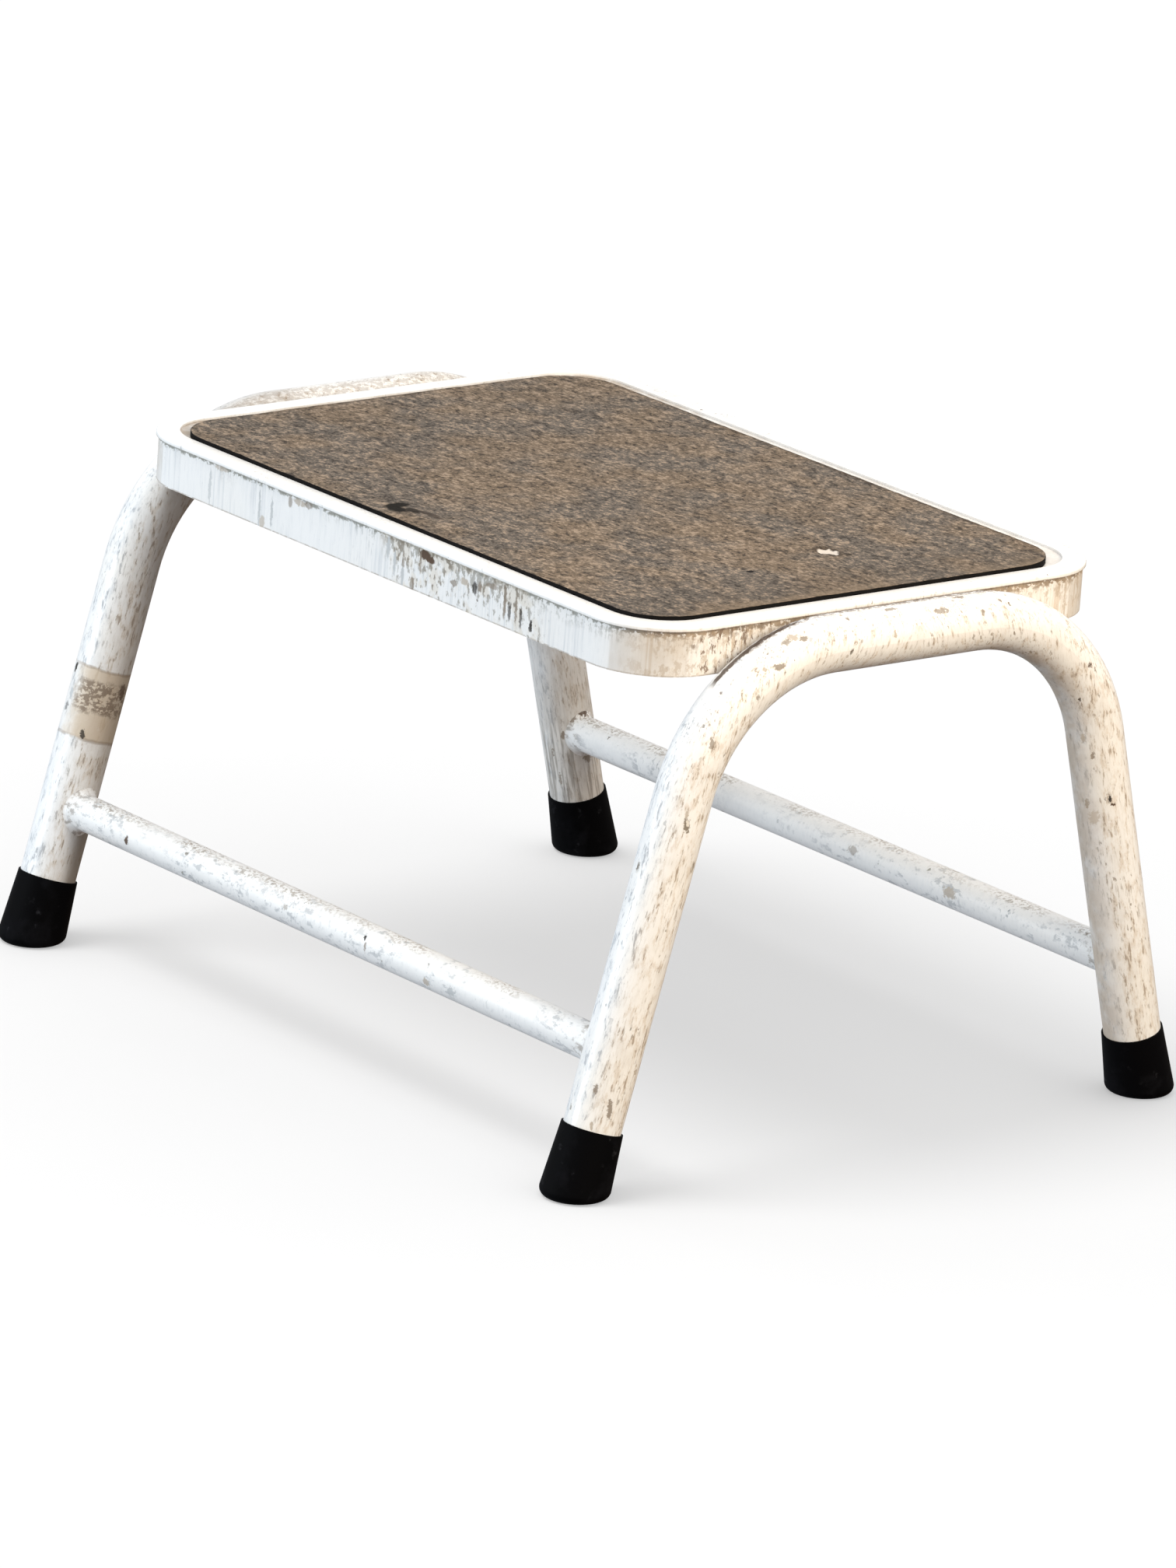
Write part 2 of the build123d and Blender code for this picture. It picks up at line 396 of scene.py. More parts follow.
# %% Tray paint: the crease under the rim
CREASE_GREY = (0.25, 0.25, 0.22)
CREASE_BROWN = (0.16, 0.11, 0.07)
tray_paint = OldPaint("worn_white_tray_paint")
tray_paint.lay_coat(tray_paint.place, (1.2, 1.2, 9.0), (2.0, 2.0, 3.2),
                    grimy=0.15, chippy=0.1, dusty=0.25, creamy=0.2)

below_lip = (lip_z - tray_paint.z) / MM
not_below = tray_paint.rise(tray_paint.facing(UP), -0.8, -0.4)
on_apron = tray_paint.rise(below_lip, -0.5, 0.1) * not_below
at_end = tray_paint.rise(abs(tray_paint.x), apron_x - 26 * MM, apron_x - 6 * MM)
beads = tray_paint.noise((2.6, 2.6, 2.0), 31.0, 3.0, 0.65)
stretch = tray_paint.noise(30, 37.0, 2.0)
# A dark line in the crease under the lip, wider at the ends, with a ragged fringe below it.
line_reach = tray_paint.rise(beads, 0.30, 0.62) * (2.6 + 2.2 * at_end) + 0.2
line = on_apron * tray_paint.rise(below_lip, line_reach, line_reach * 0.5)
fringe_reach = tray_paint.rise(stretch, 0.38, 0.66) * 8.0 + 2.0 + 5.0 * at_end
fringe = on_apron * tray_paint.rise(below_lip, fringe_reach, 0.0)
fringe = fringe * tray_paint.rise(beads + tray_paint.strokes - 0.5, 0.46, 0.66)
line_colour = tray_paint.blend(at_end, CREASE_GREY, CREASE_BROWN)
tray_paint.add_dirt_and_shade(line * 0.9, line_colour, 0.2)
tray_paint.add_dirt_and_shade(fringe * 0.7, line_colour)

# %% [markdown]
# Rain streaks are the same noise as dirt, only drawn in a place that is squeezed lengthwise and
# left long from top to bottom. They fade in and out along the tray, which a second, wider noise
# does.

# %% Tray paint: rain streaks and the bottom edge
STREAK_GREY = (0.52, 0.55, 0.58)
STREAK_BROWN = (0.48, 0.37, 0.26)
PAINTED_WARM_LIGHT_TAN = (0.66, 0.55, 0.42)
CORNER_BROWN = (0.40, 0.31, 0.22)
EDGE_BROWN = (0.30, 0.25, 0.20)
streaks = tray_paint.noise((1.5, 1.5, 60), 41.0, 3.0, 0.6)
streaky = tray_paint.rise(tray_paint.noise(26, 43.0, 1.0), 0.38, 0.60)
streak = on_apron * tray_paint.rise(streaks, 0.48, 0.66) * streaky
streak_colour = tray_paint.blend(at_end, STREAK_GREY, STREAK_BROWN)
tray_paint.add_dirt_and_shade(streak * (0.5 + 0.3 * at_end), streak_colour)
# Painted warm light: a mottled tan tint over both ends of the apron.
tan = tray_paint.noise(9, 45.0, 4.0, 0.65)
tan = on_apron * at_end * (0.25 + 0.75 * tray_paint.rise(tan, 0.42, 0.62))
tray_paint.add_dirt_and_shade(tan * 0.36, PAINTED_WARM_LIGHT_TAN)
corner_dirt = tray_paint.noise((3.0, 3.0, 5.0), 47.0, 4.0, 0.68)
corner_dirt = on_apron * at_end * tray_paint.rise(corner_dirt, 0.52, 0.62)
tray_paint.add_dirt_and_shade(corner_dirt * 0.55, CORNER_BROWN)

above_foot = (tray_paint.z - apron_foot_z) / MM
foot_line = tray_paint.rise(above_foot, 0.9, 0.2) * tray_paint.rise(beads, 0.30, 0.55)
tray_paint.add_dirt_and_shade(foot_line * 0.7, EDGE_BROWN)

# %% [markdown]
# The knocked stretch: a patch about 100 mm long whose left edge slants, filled with broken noise
# that is densest under the lip. Inside it are a rust spot and a group of drips. Each is a spot with
# a middle and a size, drawn in the ragged place, so that no edge is smooth.

# %% Tray paint: the knocked stretch on the front
KNOCKED_GREY = (0.34, 0.33, 0.30)
KNOCKED_BROWN = (0.20, 0.17, 0.13)
BARED_CREAM = (0.64, 0.59, 0.51)
KNOCK_MIDDLE, KNOCK_HALF = 55.0, 57.0
knock_at = (tray_paint.x / MM - KNOCK_MIDDLE - below_lip * 0.5) / KNOCK_HALF
knock = tray_paint.rise(abs(knock_at), 1.05, 0.80) * tray_paint.rise(tray_paint.y, 0.0, -apron_y / 2)
knock = knock * on_apron
crumbs = tray_paint.noise((2.4, 2.4, 4.6), 51.0, 4.0, 0.62)
deep = tray_paint.rise(below_lip, 17.0, 0.0)
haze = tray_paint.noise((7, 7, 8), 53.0, 3.0, 0.6)
crumb = knock * tray_paint.rise(crumbs + deep * 0.11, 0.56, 0.66)
cream_patch = knock * tray_paint.rise(haze + deep * 0.12, 0.48, 0.66)
crumb_colour = tray_paint.blend(tray_paint.rise(haze, 0.42, 0.60), KNOCKED_GREY, KNOCKED_BROWN)
tray_paint.add_dirt_and_shade(cream_patch * 0.6, BARED_CREAM)
tray_paint.add_dirt_and_shade(crumb * 0.85, crumb_colour, 0.35)

front_marks = [
    # along, down from the top, half sizes along and down, colour, strength
    (33.0, 4.8, 4.2, 2.2, RUST, 1.0),
    (37.0, 6.2, 3.0, 1.6, RUST, 1.0),
    (18.0, 11.0, 1.0, 4.5, GRIME, 0.8),
    (7.0, 8.0, 1.1, 5.5, RAIN_GREY, 1.0),
    (12.0, 13.5, 1.1, 6.0, RAIN_GREY, 1.0),
    (18.0, 18.5, 1.1, 5.0, RAIN_GREY, 1.0),
    (30.0, 9.0, 1.0, 5.0, GRIME, 0.9),
    (54.0, 12.0, 2.6, 1.4, GRIME, 0.8),
    (61.0, 9.5, 3.0, 1.6, DUST, 0.9),
    (25.0, 20.0, 1.6, 3.5, GRIME, 0.9),
    (68.5, 10.5, 1.8, 3.2, SOOT, 0.9),
    (72.0, 9.2, 1.2, 2.4, GRIME, 0.9),
    (80.0, 6.5, 4.0, 1.4, GRIME, 0.7),
    (89.5, 11.0, 1.0, 8.0, GRIME, 0.9),
    (93.0, 13.5, 1.2, 5.5, SOOT, 0.8),
    (97.5, 13.0, 0.8, 6.0, GRIME, 0.9),
    (101.0, 15.0, 1.0, 5.0, SOOT, 0.8),
    (108.0, 17.0, 1.1, 2.8, SOOT, 1.0),
    (-122.5, 14.0, 1.0, 9.0, RAIN_GREY, 0.8),
    (-86.0, 15.0, 0.8, 10.0, RAIN_GREY, 1.0),
    (-83.5, 20.0, 2.0, 3.0, DUST, 0.8),
    (-77.0, 14.0, 0.9, 7.0, RAIN_GREY, 1.0),
    (-64.0, 5.5, 1.4, 3.0, GRIME, 0.7),
    (-57.0, 4.5, 5.0, 1.5, DUST, 0.9),
    (-51.0, 4.2, 3.0, 1.6, GRIME, 0.7),
    (-115.0, 3.6, 5.0, 1.2, DUST, 0.8),
]


def on_front(along, down, half_along, half_down):
    """A spot on the front apron: its middle and half sizes. All four are given in mm."""
    middle = Vector((along * MM, -apron_y, tray_high.z - down * MM))
    return middle, (half_along * MM, 4 * MM, half_down * MM)


def lay_on_apron(marks, side, edge, worn):
    """Lays marks on one side of the apron. edge is how deep in a spot its dirt starts and is
    full, and worn does the same for the strokes that break it up."""
    for along, down, half_along, half_down, colour, strength in marks:
        inside = tray_paint.spot(tray_paint.torn_place, *side(along, down, half_along, half_down))
        mark = tray_paint.rise(inside, *edge) * tray_paint.rise(tray_paint.strokes, *worn)
        tray_paint.add_dirt_and_shade(mark * strength, colour, 0.3)


lay_on_apron(front_marks, on_front, (-0.15, 0.25), (0.25, 0.45))
print("the front apron has", len(front_marks), "placed marks")

# %% [markdown]
# The right end gets the same kind of marks, browner, and dirt where the tube lies against the
# apron. The rim itself stays clean, because boots keep it so, except for brown dirt in the recess
# beside the mat.

# %% Tray paint: the right end and the recess
RUBBED_BROWN = (0.20, 0.14, 0.10)
SILT = (0.36, 0.27, 0.18)
right_marks = [
    (-104.0, 9.0, 2.2, 1.4, GRIME, 0.6),
    (-106.0, 10.5, 0.7, 3.5, DUST, 1.0),
    (-114.0, 5.0, 2.0, 1.3, DUST, 1.0),
    (-100.0, 5.5, 1.0, 2.0, GRIME, 0.8),
    (-90.0, 4.6, 1.2, 2.2, GRIME, 0.9),
    (-84.0, 5.5, 1.0, 3.0, GRIME, 0.9),
    (-78.0, 3.6, 5.0, 1.2, GRIME, 0.8),
    (-76.0, 7.5, 0.8, 5.5, RUST, 0.9),
    (-70.0, 4.0, 5.5, 1.3, GRIME, 0.9),
]


def on_right(along, down, half_along, half_down):
    """A spot on the right apron, given as on_front's is."""
    middle = Vector((apron_x, along * MM, tray_high.z - down * MM))
    return middle, (5 * MM, half_along * MM, half_down * MM)


lay_on_apron(right_marks, on_right, (0.0, 0.45), (0.30, 0.52))
print("the right apron has", len(right_marks), "placed marks")

right_side = tray_paint.rise(tray_paint.x, apron_x - 22 * MM, apron_x - 1 * MM)
rub_reach = tray_paint.rise(abs(tray_paint.y / MM + 82.0), 27.0, 16.0)
rubbed = on_apron * right_side * rub_reach * tray_paint.rise(crumbs, 0.55, 0.63)
tray_paint.add_dirt_and_shade(rubbed * 0.9, RUBBED_BROWN, 0.35)

RECESS_DEPTH = 1.2 * MM
sunk = tray_paint.rise(tray_paint.z, tray_high.z - 0.3 * RECESS_DEPTH, tray_high.z - RECESS_DEPTH)
above_sheet = tray_high.z - RECESS_DEPTH - 0.3 * MM
sunk = sunk * tray_paint.rise(tray_paint.z, above_sheet - 0.1 * MM, above_sheet)
inside_rim = tray_paint.rise(abs(tray_paint.x), apron_x - 7 * MM, apron_x - 10 * MM)
inside_rim = inside_rim * tray_paint.rise(abs(tray_paint.y), apron_y - 7 * MM, apron_y - 10 * MM)
left_part = tray_paint.rise(tray_paint.x, -60 * MM, -150 * MM)
silt = sunk * inside_rim * tray_paint.rise(tray_paint.smudge, 0.25, 0.65) * (0.35 + 0.65 * left_part)
tray_paint.add_dirt_and_shade(silt * 0.8, SILT)

hollow = tray_paint.rise(tray_paint.z, lip_z - 1 * MM, lip_z - 3 * MM)
hollow = hollow * tray_paint.rise(abs(tray_paint.x), apron_x - 1.2 * MM, apron_x - 1.6 * MM)
hollow = hollow * tray_paint.rise(abs(tray_paint.y), apron_y - 1.2 * MM, apron_y - 1.6 * MM)
tray_paint.add_dirt_and_shade(hollow * (0.25 + 0.4 * tray_paint.rise(tray_paint.patches, 0.3, 0.7)), DUST)

tray_paint.close_coat()
paint_node("tray", tray_paint)
print("tray paint has", len(tray_paint.tree.nodes), "nodes")

# %% [markdown]
# ## The tubes
#
# A leg leans, so a streak that follows it must lean too. On a leg the sum of the sideways distance
# and the height times the tangent of the lean stays the same all along its length. Noise that is
# drawn in that sum, and left long in height, runs down every leg whichever way it leans. On the
# top bar the same place gives short upright strokes, which is how the real bar looks.

# %% Tube paint: a place that follows the legs
MOTTLE_COOL = (0.55, 0.59, 0.63)
MOTTLE_WARM = (0.55, 0.46, 0.36)
SPECK_COOL = (0.33, 0.35, 0.38)
SPECK_WARM = (0.24, 0.18, 0.13)
SHOULDER_BROWN = (0.16, 0.11, 0.075)
GROOVE_BROWN = (0.16, 0.12, 0.09)
LEAN_SLOPE = math.tan(LEG_LEAN)


def along_legs(finish):
    """The place with the legs' lean taken out, so that a leg stands upright in it."""
    side = abs(finish.y) + finish.z * LEAN_SLOPE
    inputs = {0: finish.x, 1: side, 2: finish.z}
    return finish.node("ShaderNodeCombineXYZ", None, inputs, "Vector")


def tube_coat(name, grimy, chippy, dusty, creamy):
    """Opens a finish for one tube, with the dirt that all tubes have, tinted by painted warm and cool
    light.
    """
    finish = OldPaint(name)
    finish.lay_coat(along_legs(finish), (1.0, 1.0, 5.5), (2.1, 2.1, 4.2),
                    grimy=grimy, chippy=chippy, dusty=dusty, creamy=creamy)
    mottle = finish.noise((3.4, 3.4, 9), 63.0, 4.0, 0.68, along_legs(finish))
    # Painted light: the mottle and specks are warm on faces turned to the warm-lit side and cool on faces
    # turned away.
    mottle_colour = finish.blend(finish.warm_lit_side, MOTTLE_COOL, MOTTLE_WARM)
    on_bar = finish.rise(finish.z, bar_z - 34 * MM, bar_z - 14 * MM)
    mottle = mottle - on_bar * 0.035
    finish.add_dirt_and_shade(finish.rise(mottle, 0.47, 0.62) * 0.5, mottle_colour)
    specks = finish.rise(mottle * 0.5 + finish.strokes * 0.5, 0.550, 0.61)
    speck_colour = finish.blend(finish.warm_lit_side, SPECK_COOL, SPECK_WARM)
    finish.add_dirt_and_shade(specks * 0.65, speck_colour)
    to_tray = (abs(finish.x) - apron_x) / MM
    crumbs = finish.noise((2.0, 3.4, 2.0), 61.0, 3.0, 0.65)
    shoulder = finish.rise(to_tray + crumbs * 14.0, 21.5, 19.0)
    shoulder = shoulder * finish.rise(finish.z, bar_z - 2 * MM, bar_z + 4 * MM)
    right_worst = 0.4 + 0.55 * finish.rise(finish.x, -100 * MM, 100 * MM)
    shoulder = shoulder * finish.rise(crumbs, 0.40, 0.55) * right_worst
    finish.add_dirt_and_shade(shoulder, SHOULDER_BROWN)
    groove = finish.rise(to_tray, 4.0, 1.0) * finish.rise(finish.z, lip_z - 40 * MM, lip_z - 25 * MM)
    finish.add_dirt_and_shade(groove * 0.7, GROOVE_BROWN)
    return finish


# %% [markdown]
# The right frame faces the rider and has the most knocks. Its two near marks are an oval chip half
# way up the front leg and a hooked scratch on the rear one; the rest are dashes on the bend. Dark
# dirt fills the seam along the front bend, and a tan film of painted shade darkens the tube where it
# faces down and in, under the bar.

# %% Right end frame
SEAM_BROWN = (0.075, 0.05, 0.035)
PAINTED_UNDERSIDE_SHADE = (0.50, 0.39, 0.28)
right_paint = tube_coat("worn_white_right_tube_paint", 0.5, 0.65, 0.4, 0.4)
right_marks_on_tube = [
    ((209.8, -121.3, 162.6), (1.9, 1.6, 3.6), (0.19, 0.16, 0.12), 0.95),
    ((210.0, -121.0, 163.6), (0.9, 0.8, 1.7), CREAM, 0.8),
    ((209.8, -121.6, 167.6), (1.0, 1.0, 2.4), DUST, 0.9),
    ((209.4, 116.4, 143.2), (1.0, 0.8, 1.9), SOOT, 1.0),
    ((210.0, 118.3, 140.3), (1.2, 1.5, 0.8), RUST, 1.0),
    ((206.7, 96.7, 189.5), (0.9, 0.8, 2.3), SOOT, 1.0),
    ((210.4, 97.2, 206.2), (1.0, 1.2, 1.4), RUST, 0.9),
    ((209.8, 92.0, 213.0), (0.8, 0.8, 3.2), DUST, 0.9),
    ((206.6, 107.2, 162.8), (0.9, 0.9, 2.0), GRIME, 0.9),
    ((203.7, 103.0, 170.6), (1.4, 1.2, 3.2), DUST, 0.9),
    ((202.0, 110.4, 139.6), (1.4, 1.2, 2.4), GRIME, 0.8),
    ((204.0, 113.0, 133.5), (3.4, 2.0, 4.0), DUST, 0.7),
    ((204.5, -66.0, 237.0), (3.4, 3.2, 1.4), DUST, 1.0),
    ((206.5, -61.5, 236.5), (2.0, 2.4, 1.2), GRIME, 0.9),
    ((207.4, -58.5, 235.8), (0.9, 1.0, 2.3), RAIN_GREY, 1.0),
    ((203.4, -35.5, 241.0), (1.0, 1.0, 1.6), GRIME, 0.9),
    ((200.2, -37.0, 242.0), (1.2, 1.0, 1.4), DUST, 1.0),
    ((201.2, -10.5, 241.8), (1.2, 4.6, 1.2), GRIME, 0.8),
    ((200.0, 29.0, 241.8), (1.4, 3.4, 1.6), GRIME, 0.9),
    ((209.6, -14.0, 233.0), (1.0, 0.8, 3.2), DUST, 1.0),
    ((205.0, 48.0, 239.5), (0.9, 0.9, 1.6), GRIME, 0.9),
    ((206.4, 52.0, 238.0), (0.9, 0.8, 1.9), GRIME, 1.0),
    ((205.5, -93.5, 216.0), (1.1, 1.8, 3.2), DUST, 0.9),
    ((206.2, -98.5, 208.5), (0.9, 1.6, 3.2), DUST, 0.8),
    ((209.5, -101.0, 199.0), (0.9, 0.9, 1.6), GRIME, 0.8),
    ((205.2, -157.0, 50.0), (1.2, 1.2, 2.4), GRIME, 0.9),
    ((210.0, -152.3, 41.0), (1.2, 1.4, 5.0), GRIME, 0.9),
    ((207.0, -159.1, 34.3), (0.8, 0.9, 2.0), DUST, 1.0),
    ((210.0, -139.4, 55.6), (1.4, 1.4, 1.6), DUST, 1.0),
    ((209.0, -76.0, 226.5), (1.4, 3.6, 1.6), GRIME, 0.9),
    ((207.5, -83.0, 224.0), (1.2, 1.6, 3.0), DUST, 1.0),
    ((210.0, -88.0, 214.5), (1.1, 1.2, 1.8), GRIME, 0.8),
    ((204.5, -70.0, 235.0), (1.6, 3.0, 1.6), GRIME, 0.8),
    ((209.0, -110.0, 196.0), (1.0, 1.4, 6.0), GRIME, 0.8),
    ((208.0, -116.0, 184.0), (1.0, 1.2, 5.0), DUST, 1.0),
    ((206.0, 14.0, 239.5), (1.6, 5.0, 1.8), GRIME, 0.8),
    ((208.0, 36.0, 236.0), (1.2, 1.2, 2.4), GRIME, 0.9),
]
right_paint.add_marks(right_marks_on_tube)
seam_noise = right_paint.noise(3, 75.0, 3.0, 0.65)
seam = right_paint.rise(abs((right_paint.x - bar_x) / MM + 3.0) + seam_noise * 4.0, 4.3, 3.3)
seam = seam * right_paint.rise(right_paint.y, -52 * MM, -62 * MM)
seam = seam * right_paint.rise(right_paint.z, apron_foot_z - 3 * MM, apron_foot_z + 1 * MM)
right_paint.add_dirt_and_shade(seam * 0.95, SEAM_BROWN)
# Painted shade: a tan film darkens the faces that turn down and in, under the bar.
under = right_paint.rise(right_paint.facing(DOWN_AND_IN), 0.05, 0.75)
under = under * right_paint.rise(right_paint.y, -100 * MM, -50 * MM)
under = under * (0.5 + 0.5 * right_paint.rise(right_paint.smudge, 0.35, 0.6))
right_paint.add_dirt_and_shade(under * 0.75, PAINTED_UNDERSIDE_SHADE)
right_paint.close_coat()
paint_node("right_end_frame", right_paint)
print("the right frame has", len(right_marks_on_tube), "placed marks")

# %% [markdown]
# The left frame's front leg once had tape round it. The glue that it left is a beige band, darker
# where it has picked up dirt, with a thin dark line at each edge where the tape ended. The band is
# square to the leg, so it is measured along the leg's own axis. The side of that leg which faces
# the rear and the middle is painted darker brown, as painted shade, most of all below the
# stretcher, and a slanted measure through the leg's axis finds it. The same frame's rear leg gets
# long dirt streaks and, low down under the tray, a grey film that is partly dirt and partly the
# tray's painted shade.

# %% Left end frame: tape glue, grime and painted shade
GLUE = (0.58, 0.48, 0.36)
GLUE_CRUST = (0.20, 0.15, 0.11)
GLUE_EDGE = (0.27, 0.21, 0.16)
PAINTED_SHADE_BROWN = (0.20, 0.165, 0.13)
LEG_DIRT_AND_SHADE_FILM = (0.44, 0.40, 0.36)
SOAKED_BROWN = (0.20, 0.17, 0.14)
left_paint = tube_coat("worn_white_left_tube_paint", 0.45, 0.3, 0.5, 0.5)
along_leg = (left_paint.z * math.cos(LEG_LEAN) - abs(left_paint.y) * math.sin(LEG_LEAN)) / MM
wander = left_paint.noise(14, 81.0, 3.0, 0.6) * 3.0 - 1.5
along_leg = along_leg + wander
front_leg = left_paint.rise(left_paint.y, -20 * MM, -40 * MM)
BAND_LOW, BAND_HIGH = 56.0, 88.0
band = left_paint.rise(along_leg, BAND_LOW - 0.6, BAND_LOW + 0.6)
band = band * left_paint.rise(along_leg, BAND_HIGH + 0.8, BAND_HIGH - 0.4) * front_leg
glue_noise = left_paint.noise(6, 83.0, 4.0, 0.65)
turned_in = left_paint.rise(left_paint.x + (glue_noise - 0.5) * 12 * MM, -bar_x - 4 * MM, -bar_x + 7 * MM)
glue = band * (0.12 + 0.88 * turned_in) * left_paint.rise(glue_noise, 0.10, 0.40)
left_paint.add_dirt_and_shade(glue * 0.85, GLUE)
crust_noise = left_paint.noise((2.6, 2.6, 2.0), 87.0, 3.0, 0.7)
crust_at = left_paint.rise(abs(along_leg - 75.5) + (glue_noise - 0.5) * 8.0, 9.0, 6.0) * front_leg
crust = crust_at * left_paint.rise(crust_noise, 0.42, 0.54) * turned_in
left_paint.add_dirt_and_shade(crust * 0.85, GLUE_CRUST, 0.2)
band_edge = left_paint.rise(abs(along_leg - BAND_LOW), 1.3, 0.3) * front_leg
upper_edge = left_paint.rise(abs(along_leg - BAND_HIGH), 1.1, 0.2) * front_leg
edge_dirt = left_paint.most(band_edge, upper_edge) * left_paint.rise(left_paint.smudge, 0.35, 0.6)
left_paint.add_dirt_and_shade(edge_dirt * 0.6, GLUE_EDGE)

# Painted shade: the side of the front leg that faces the rear and the middle is darkened brown, most of
# all below the stretcher.
SHADED_SIDE_X, SHADED_SIDE_Y, SHADED_SIDE_DOWN = 0.634, 0.773, 0.2
INWARD_AT_MIDDLE = -248.4 * MM
inward = left_paint.x * SHADED_SIDE_X + left_paint.y * SHADED_SIDE_Y - left_paint.z * SHADED_SIDE_DOWN
inner_side = left_paint.rise(inward, INWARD_AT_MIDDLE + 4 * MM, INWARD_AT_MIDDLE + 11 * MM) * front_leg
below_stretcher = left_paint.rise(left_paint.z, stretcher_z - 4 * MM, stretcher_z - 12 * MM)
painted_shade = inner_side * (0.35 + 0.5 * below_stretcher)
left_paint.add_dirt_and_shade(painted_shade, PAINTED_SHADE_BROWN)
# Partly dirt, partly painted shade of the tray: a grey film over the rear leg, low down.
rear_leg = left_paint.rise(left_paint.y, 60 * MM, 90 * MM)
low_down = left_paint.rise(left_paint.z, 230 * MM, 120 * MM)
film = rear_leg * low_down * (0.35 + 0.5 * left_paint.rise(left_paint.patches, 0.35, 0.6))
left_paint.add_dirt_and_shade(film * 0.5, LEG_DIRT_AND_SHADE_FILM)
long_streaks = left_paint.noise((1.6, 1.6, 26), 85.0, 2.0, 0.6, along_legs(left_paint))
soak = left_paint.rise(left_paint.z, stretcher_z + 9 * MM, stretcher_z - 6 * MM)
soaked = rear_leg * left_paint.rise(long_streaks, 0.47, 0.62) * (0.25 + 0.75 * soak)
left_paint.add_dirt_and_shade(soaked * 0.6, SOAKED_BROWN)
left_marks = [
    ((-202.2, -139.0, 124.6), (1.6, 1.4, 3.0), SOOT, 1.0),
    ((-200.2, -142.4, 113.0), (1.6, 1.2, 3.4), RAIN_GREY, 1.0),
    ((-201.5, -143.6, 107.0), (1.5, 1.2, 3.0), (0.22, 0.22, 0.22), 0.9),
    ((-189.1, -143.2, 96.8), (1.0, 1.0, 3.0), SOOT, 0.9),
    ((-186.0, -124.4, 114.5), (1.6, 2.2, 4.5), RUST, 0.8),
    ((-189.3, 133.6, 61.1), (1.2, 1.2, 2.2), GRIME, 0.9),
    ((-185.6, 146.0, 49.6), (2.0, 2.4, 2.4), GRIME, 0.9),
    ((-194.9, 133.0, 54.0), (0.9, 0.9, 9.0), GRIME, 0.8),
    ((-193.0, 137.0, 39.0), (0.9, 0.9, 8.0), GRIME, 0.7),
]
left_paint.add_marks(left_marks)
left_paint.close_coat()
paint_node("left_end_frame", left_paint)
print("the left frame has", len(left_marks), "placed marks and a band of glue")

# %% [markdown]
# ## The stretchers and their welds
#
# The stretchers are thin tubes that boots scrape along, so their strokes run across them, short and
# upright, and they are scuffed most on top. The welds at their ends are painted with them, and
# dirt sits in the neck just above each one.

# %% Stretcher paint, front and rear
SCUFF_GREY = (0.42, 0.44, 0.46)
TOP_BROWN = (0.26, 0.20, 0.14)
def stretcher_paint(name, side, grimy, marks):
    """Paint for one stretcher and its two welds; side is -1 at the front and 1 at the rear."""
    finish = OldPaint(name)
    finish.lay_coat(finish.place, (1.8, 1.4, 3.6), (2.4, 2.0, 2.6),
                    grimy=grimy, chippy=0.4, dusty=0.2, creamy=0.1)
    scuff = finish.noise((6, 4, 3.2), 91.0, 4.0, 0.65)
    worn = finish.rise(finish.noise(40, 93.0, 2.0), 0.38, 0.60)
    finish.add_dirt_and_shade(worn * finish.rise(scuff, 0.52, 0.64) * 0.75, SCUFF_GREY)
    neck = finish.rise(abs(finish.x), bar_x - 22 * MM, bar_x - 13 * MM)
    finish.add_dirt_and_shade(neck * finish.rise(scuff, 0.46, 0.62) * 0.55, EDGE_BROWN)
    top = finish.rise(finish.z, stretcher_z + 6.2 * MM, stretcher_z + 7.4 * MM)
    top = top * finish.rise(finish.patches, 0.36, 0.60)
    finish.add_dirt_and_shade(top * finish.rise(finish.strokes, 0.47, 0.58) * 0.55, TOP_BROWN)
    finish.add_marks(marks)
    finish.close_coat()
    side_name = "front" if side < 0 else "rear"
    paint_node(f"{side_name}_stretcher", finish)
    for end_name in ("left", "right"):
        paint_node(f"{side_name}_{end_name}_stretcher_weld", finish)


stretcher_paint("worn_white_front_stretcher_paint", -1, 0.42, [
    ((-141.6, -151.2, 61.6), (1.6, 1.4, 2.4), RUST, 1.0),
    ((32.8, -149.9, 66.0), (1.2, 1.2, 1.8), SOOT, 1.0),
    ((34.5, -150.8, 63.0), (0.9, 1.0, 2.6), GRIME, 0.8),
    ((96.0, -150.9, 60.0), (3.5, 1.4, 2.6), RAIN_GREY, 0.9),
    ((78.0, -150.9, 59.0), (2.6, 1.4, 2.2), DUST, 0.9),
    ((-24.0, -150.5, 64.0), (2.4, 1.4, 1.6), GRIME, 0.6),
])
stretcher_paint("worn_white_rear_stretcher_paint", 1, 0.4, [
    ((-185.1, 141.0, 72.3), (3.2, 2.6, 1.8), RUST, 0.9),
    ((-186.6, 135.6, 69.4), (2.6, 2.2, 2.0), GRIME, 0.9),
    ((20.0, 135.2, 64.0), (4.0, 1.6, 2.4), GRIME, 0.6),
    ((88.0, 135.0, 63.0), (5.0, 1.6, 2.8), DUST, 0.9),
])

# %% [markdown]
# ## The ribs under the tread
#
# Two hat-section ribs stiffen the tread from below. Nobody wipes them, so they get the same paint
# under a thicker film of dust.

# %% Rib paint
rib_paint = OldPaint("dusty_white_rib_paint")
rib_paint.lay_coat(rib_paint.place, (6.0, 1.2, 1.2), (2.0, 1.6, 1.6),
                   grimy=0.6, chippy=0.3, dusty=0.9)
rib_paint.add_dirt_and_shade(rib_paint.rise(rib_paint.patches, 0.30, 0.70) * 0.45, DUST)
rib_paint.close_coat()
for side_name in ("front", "rear"):
    paint_node(f"{side_name}_tread_rib", rib_paint)

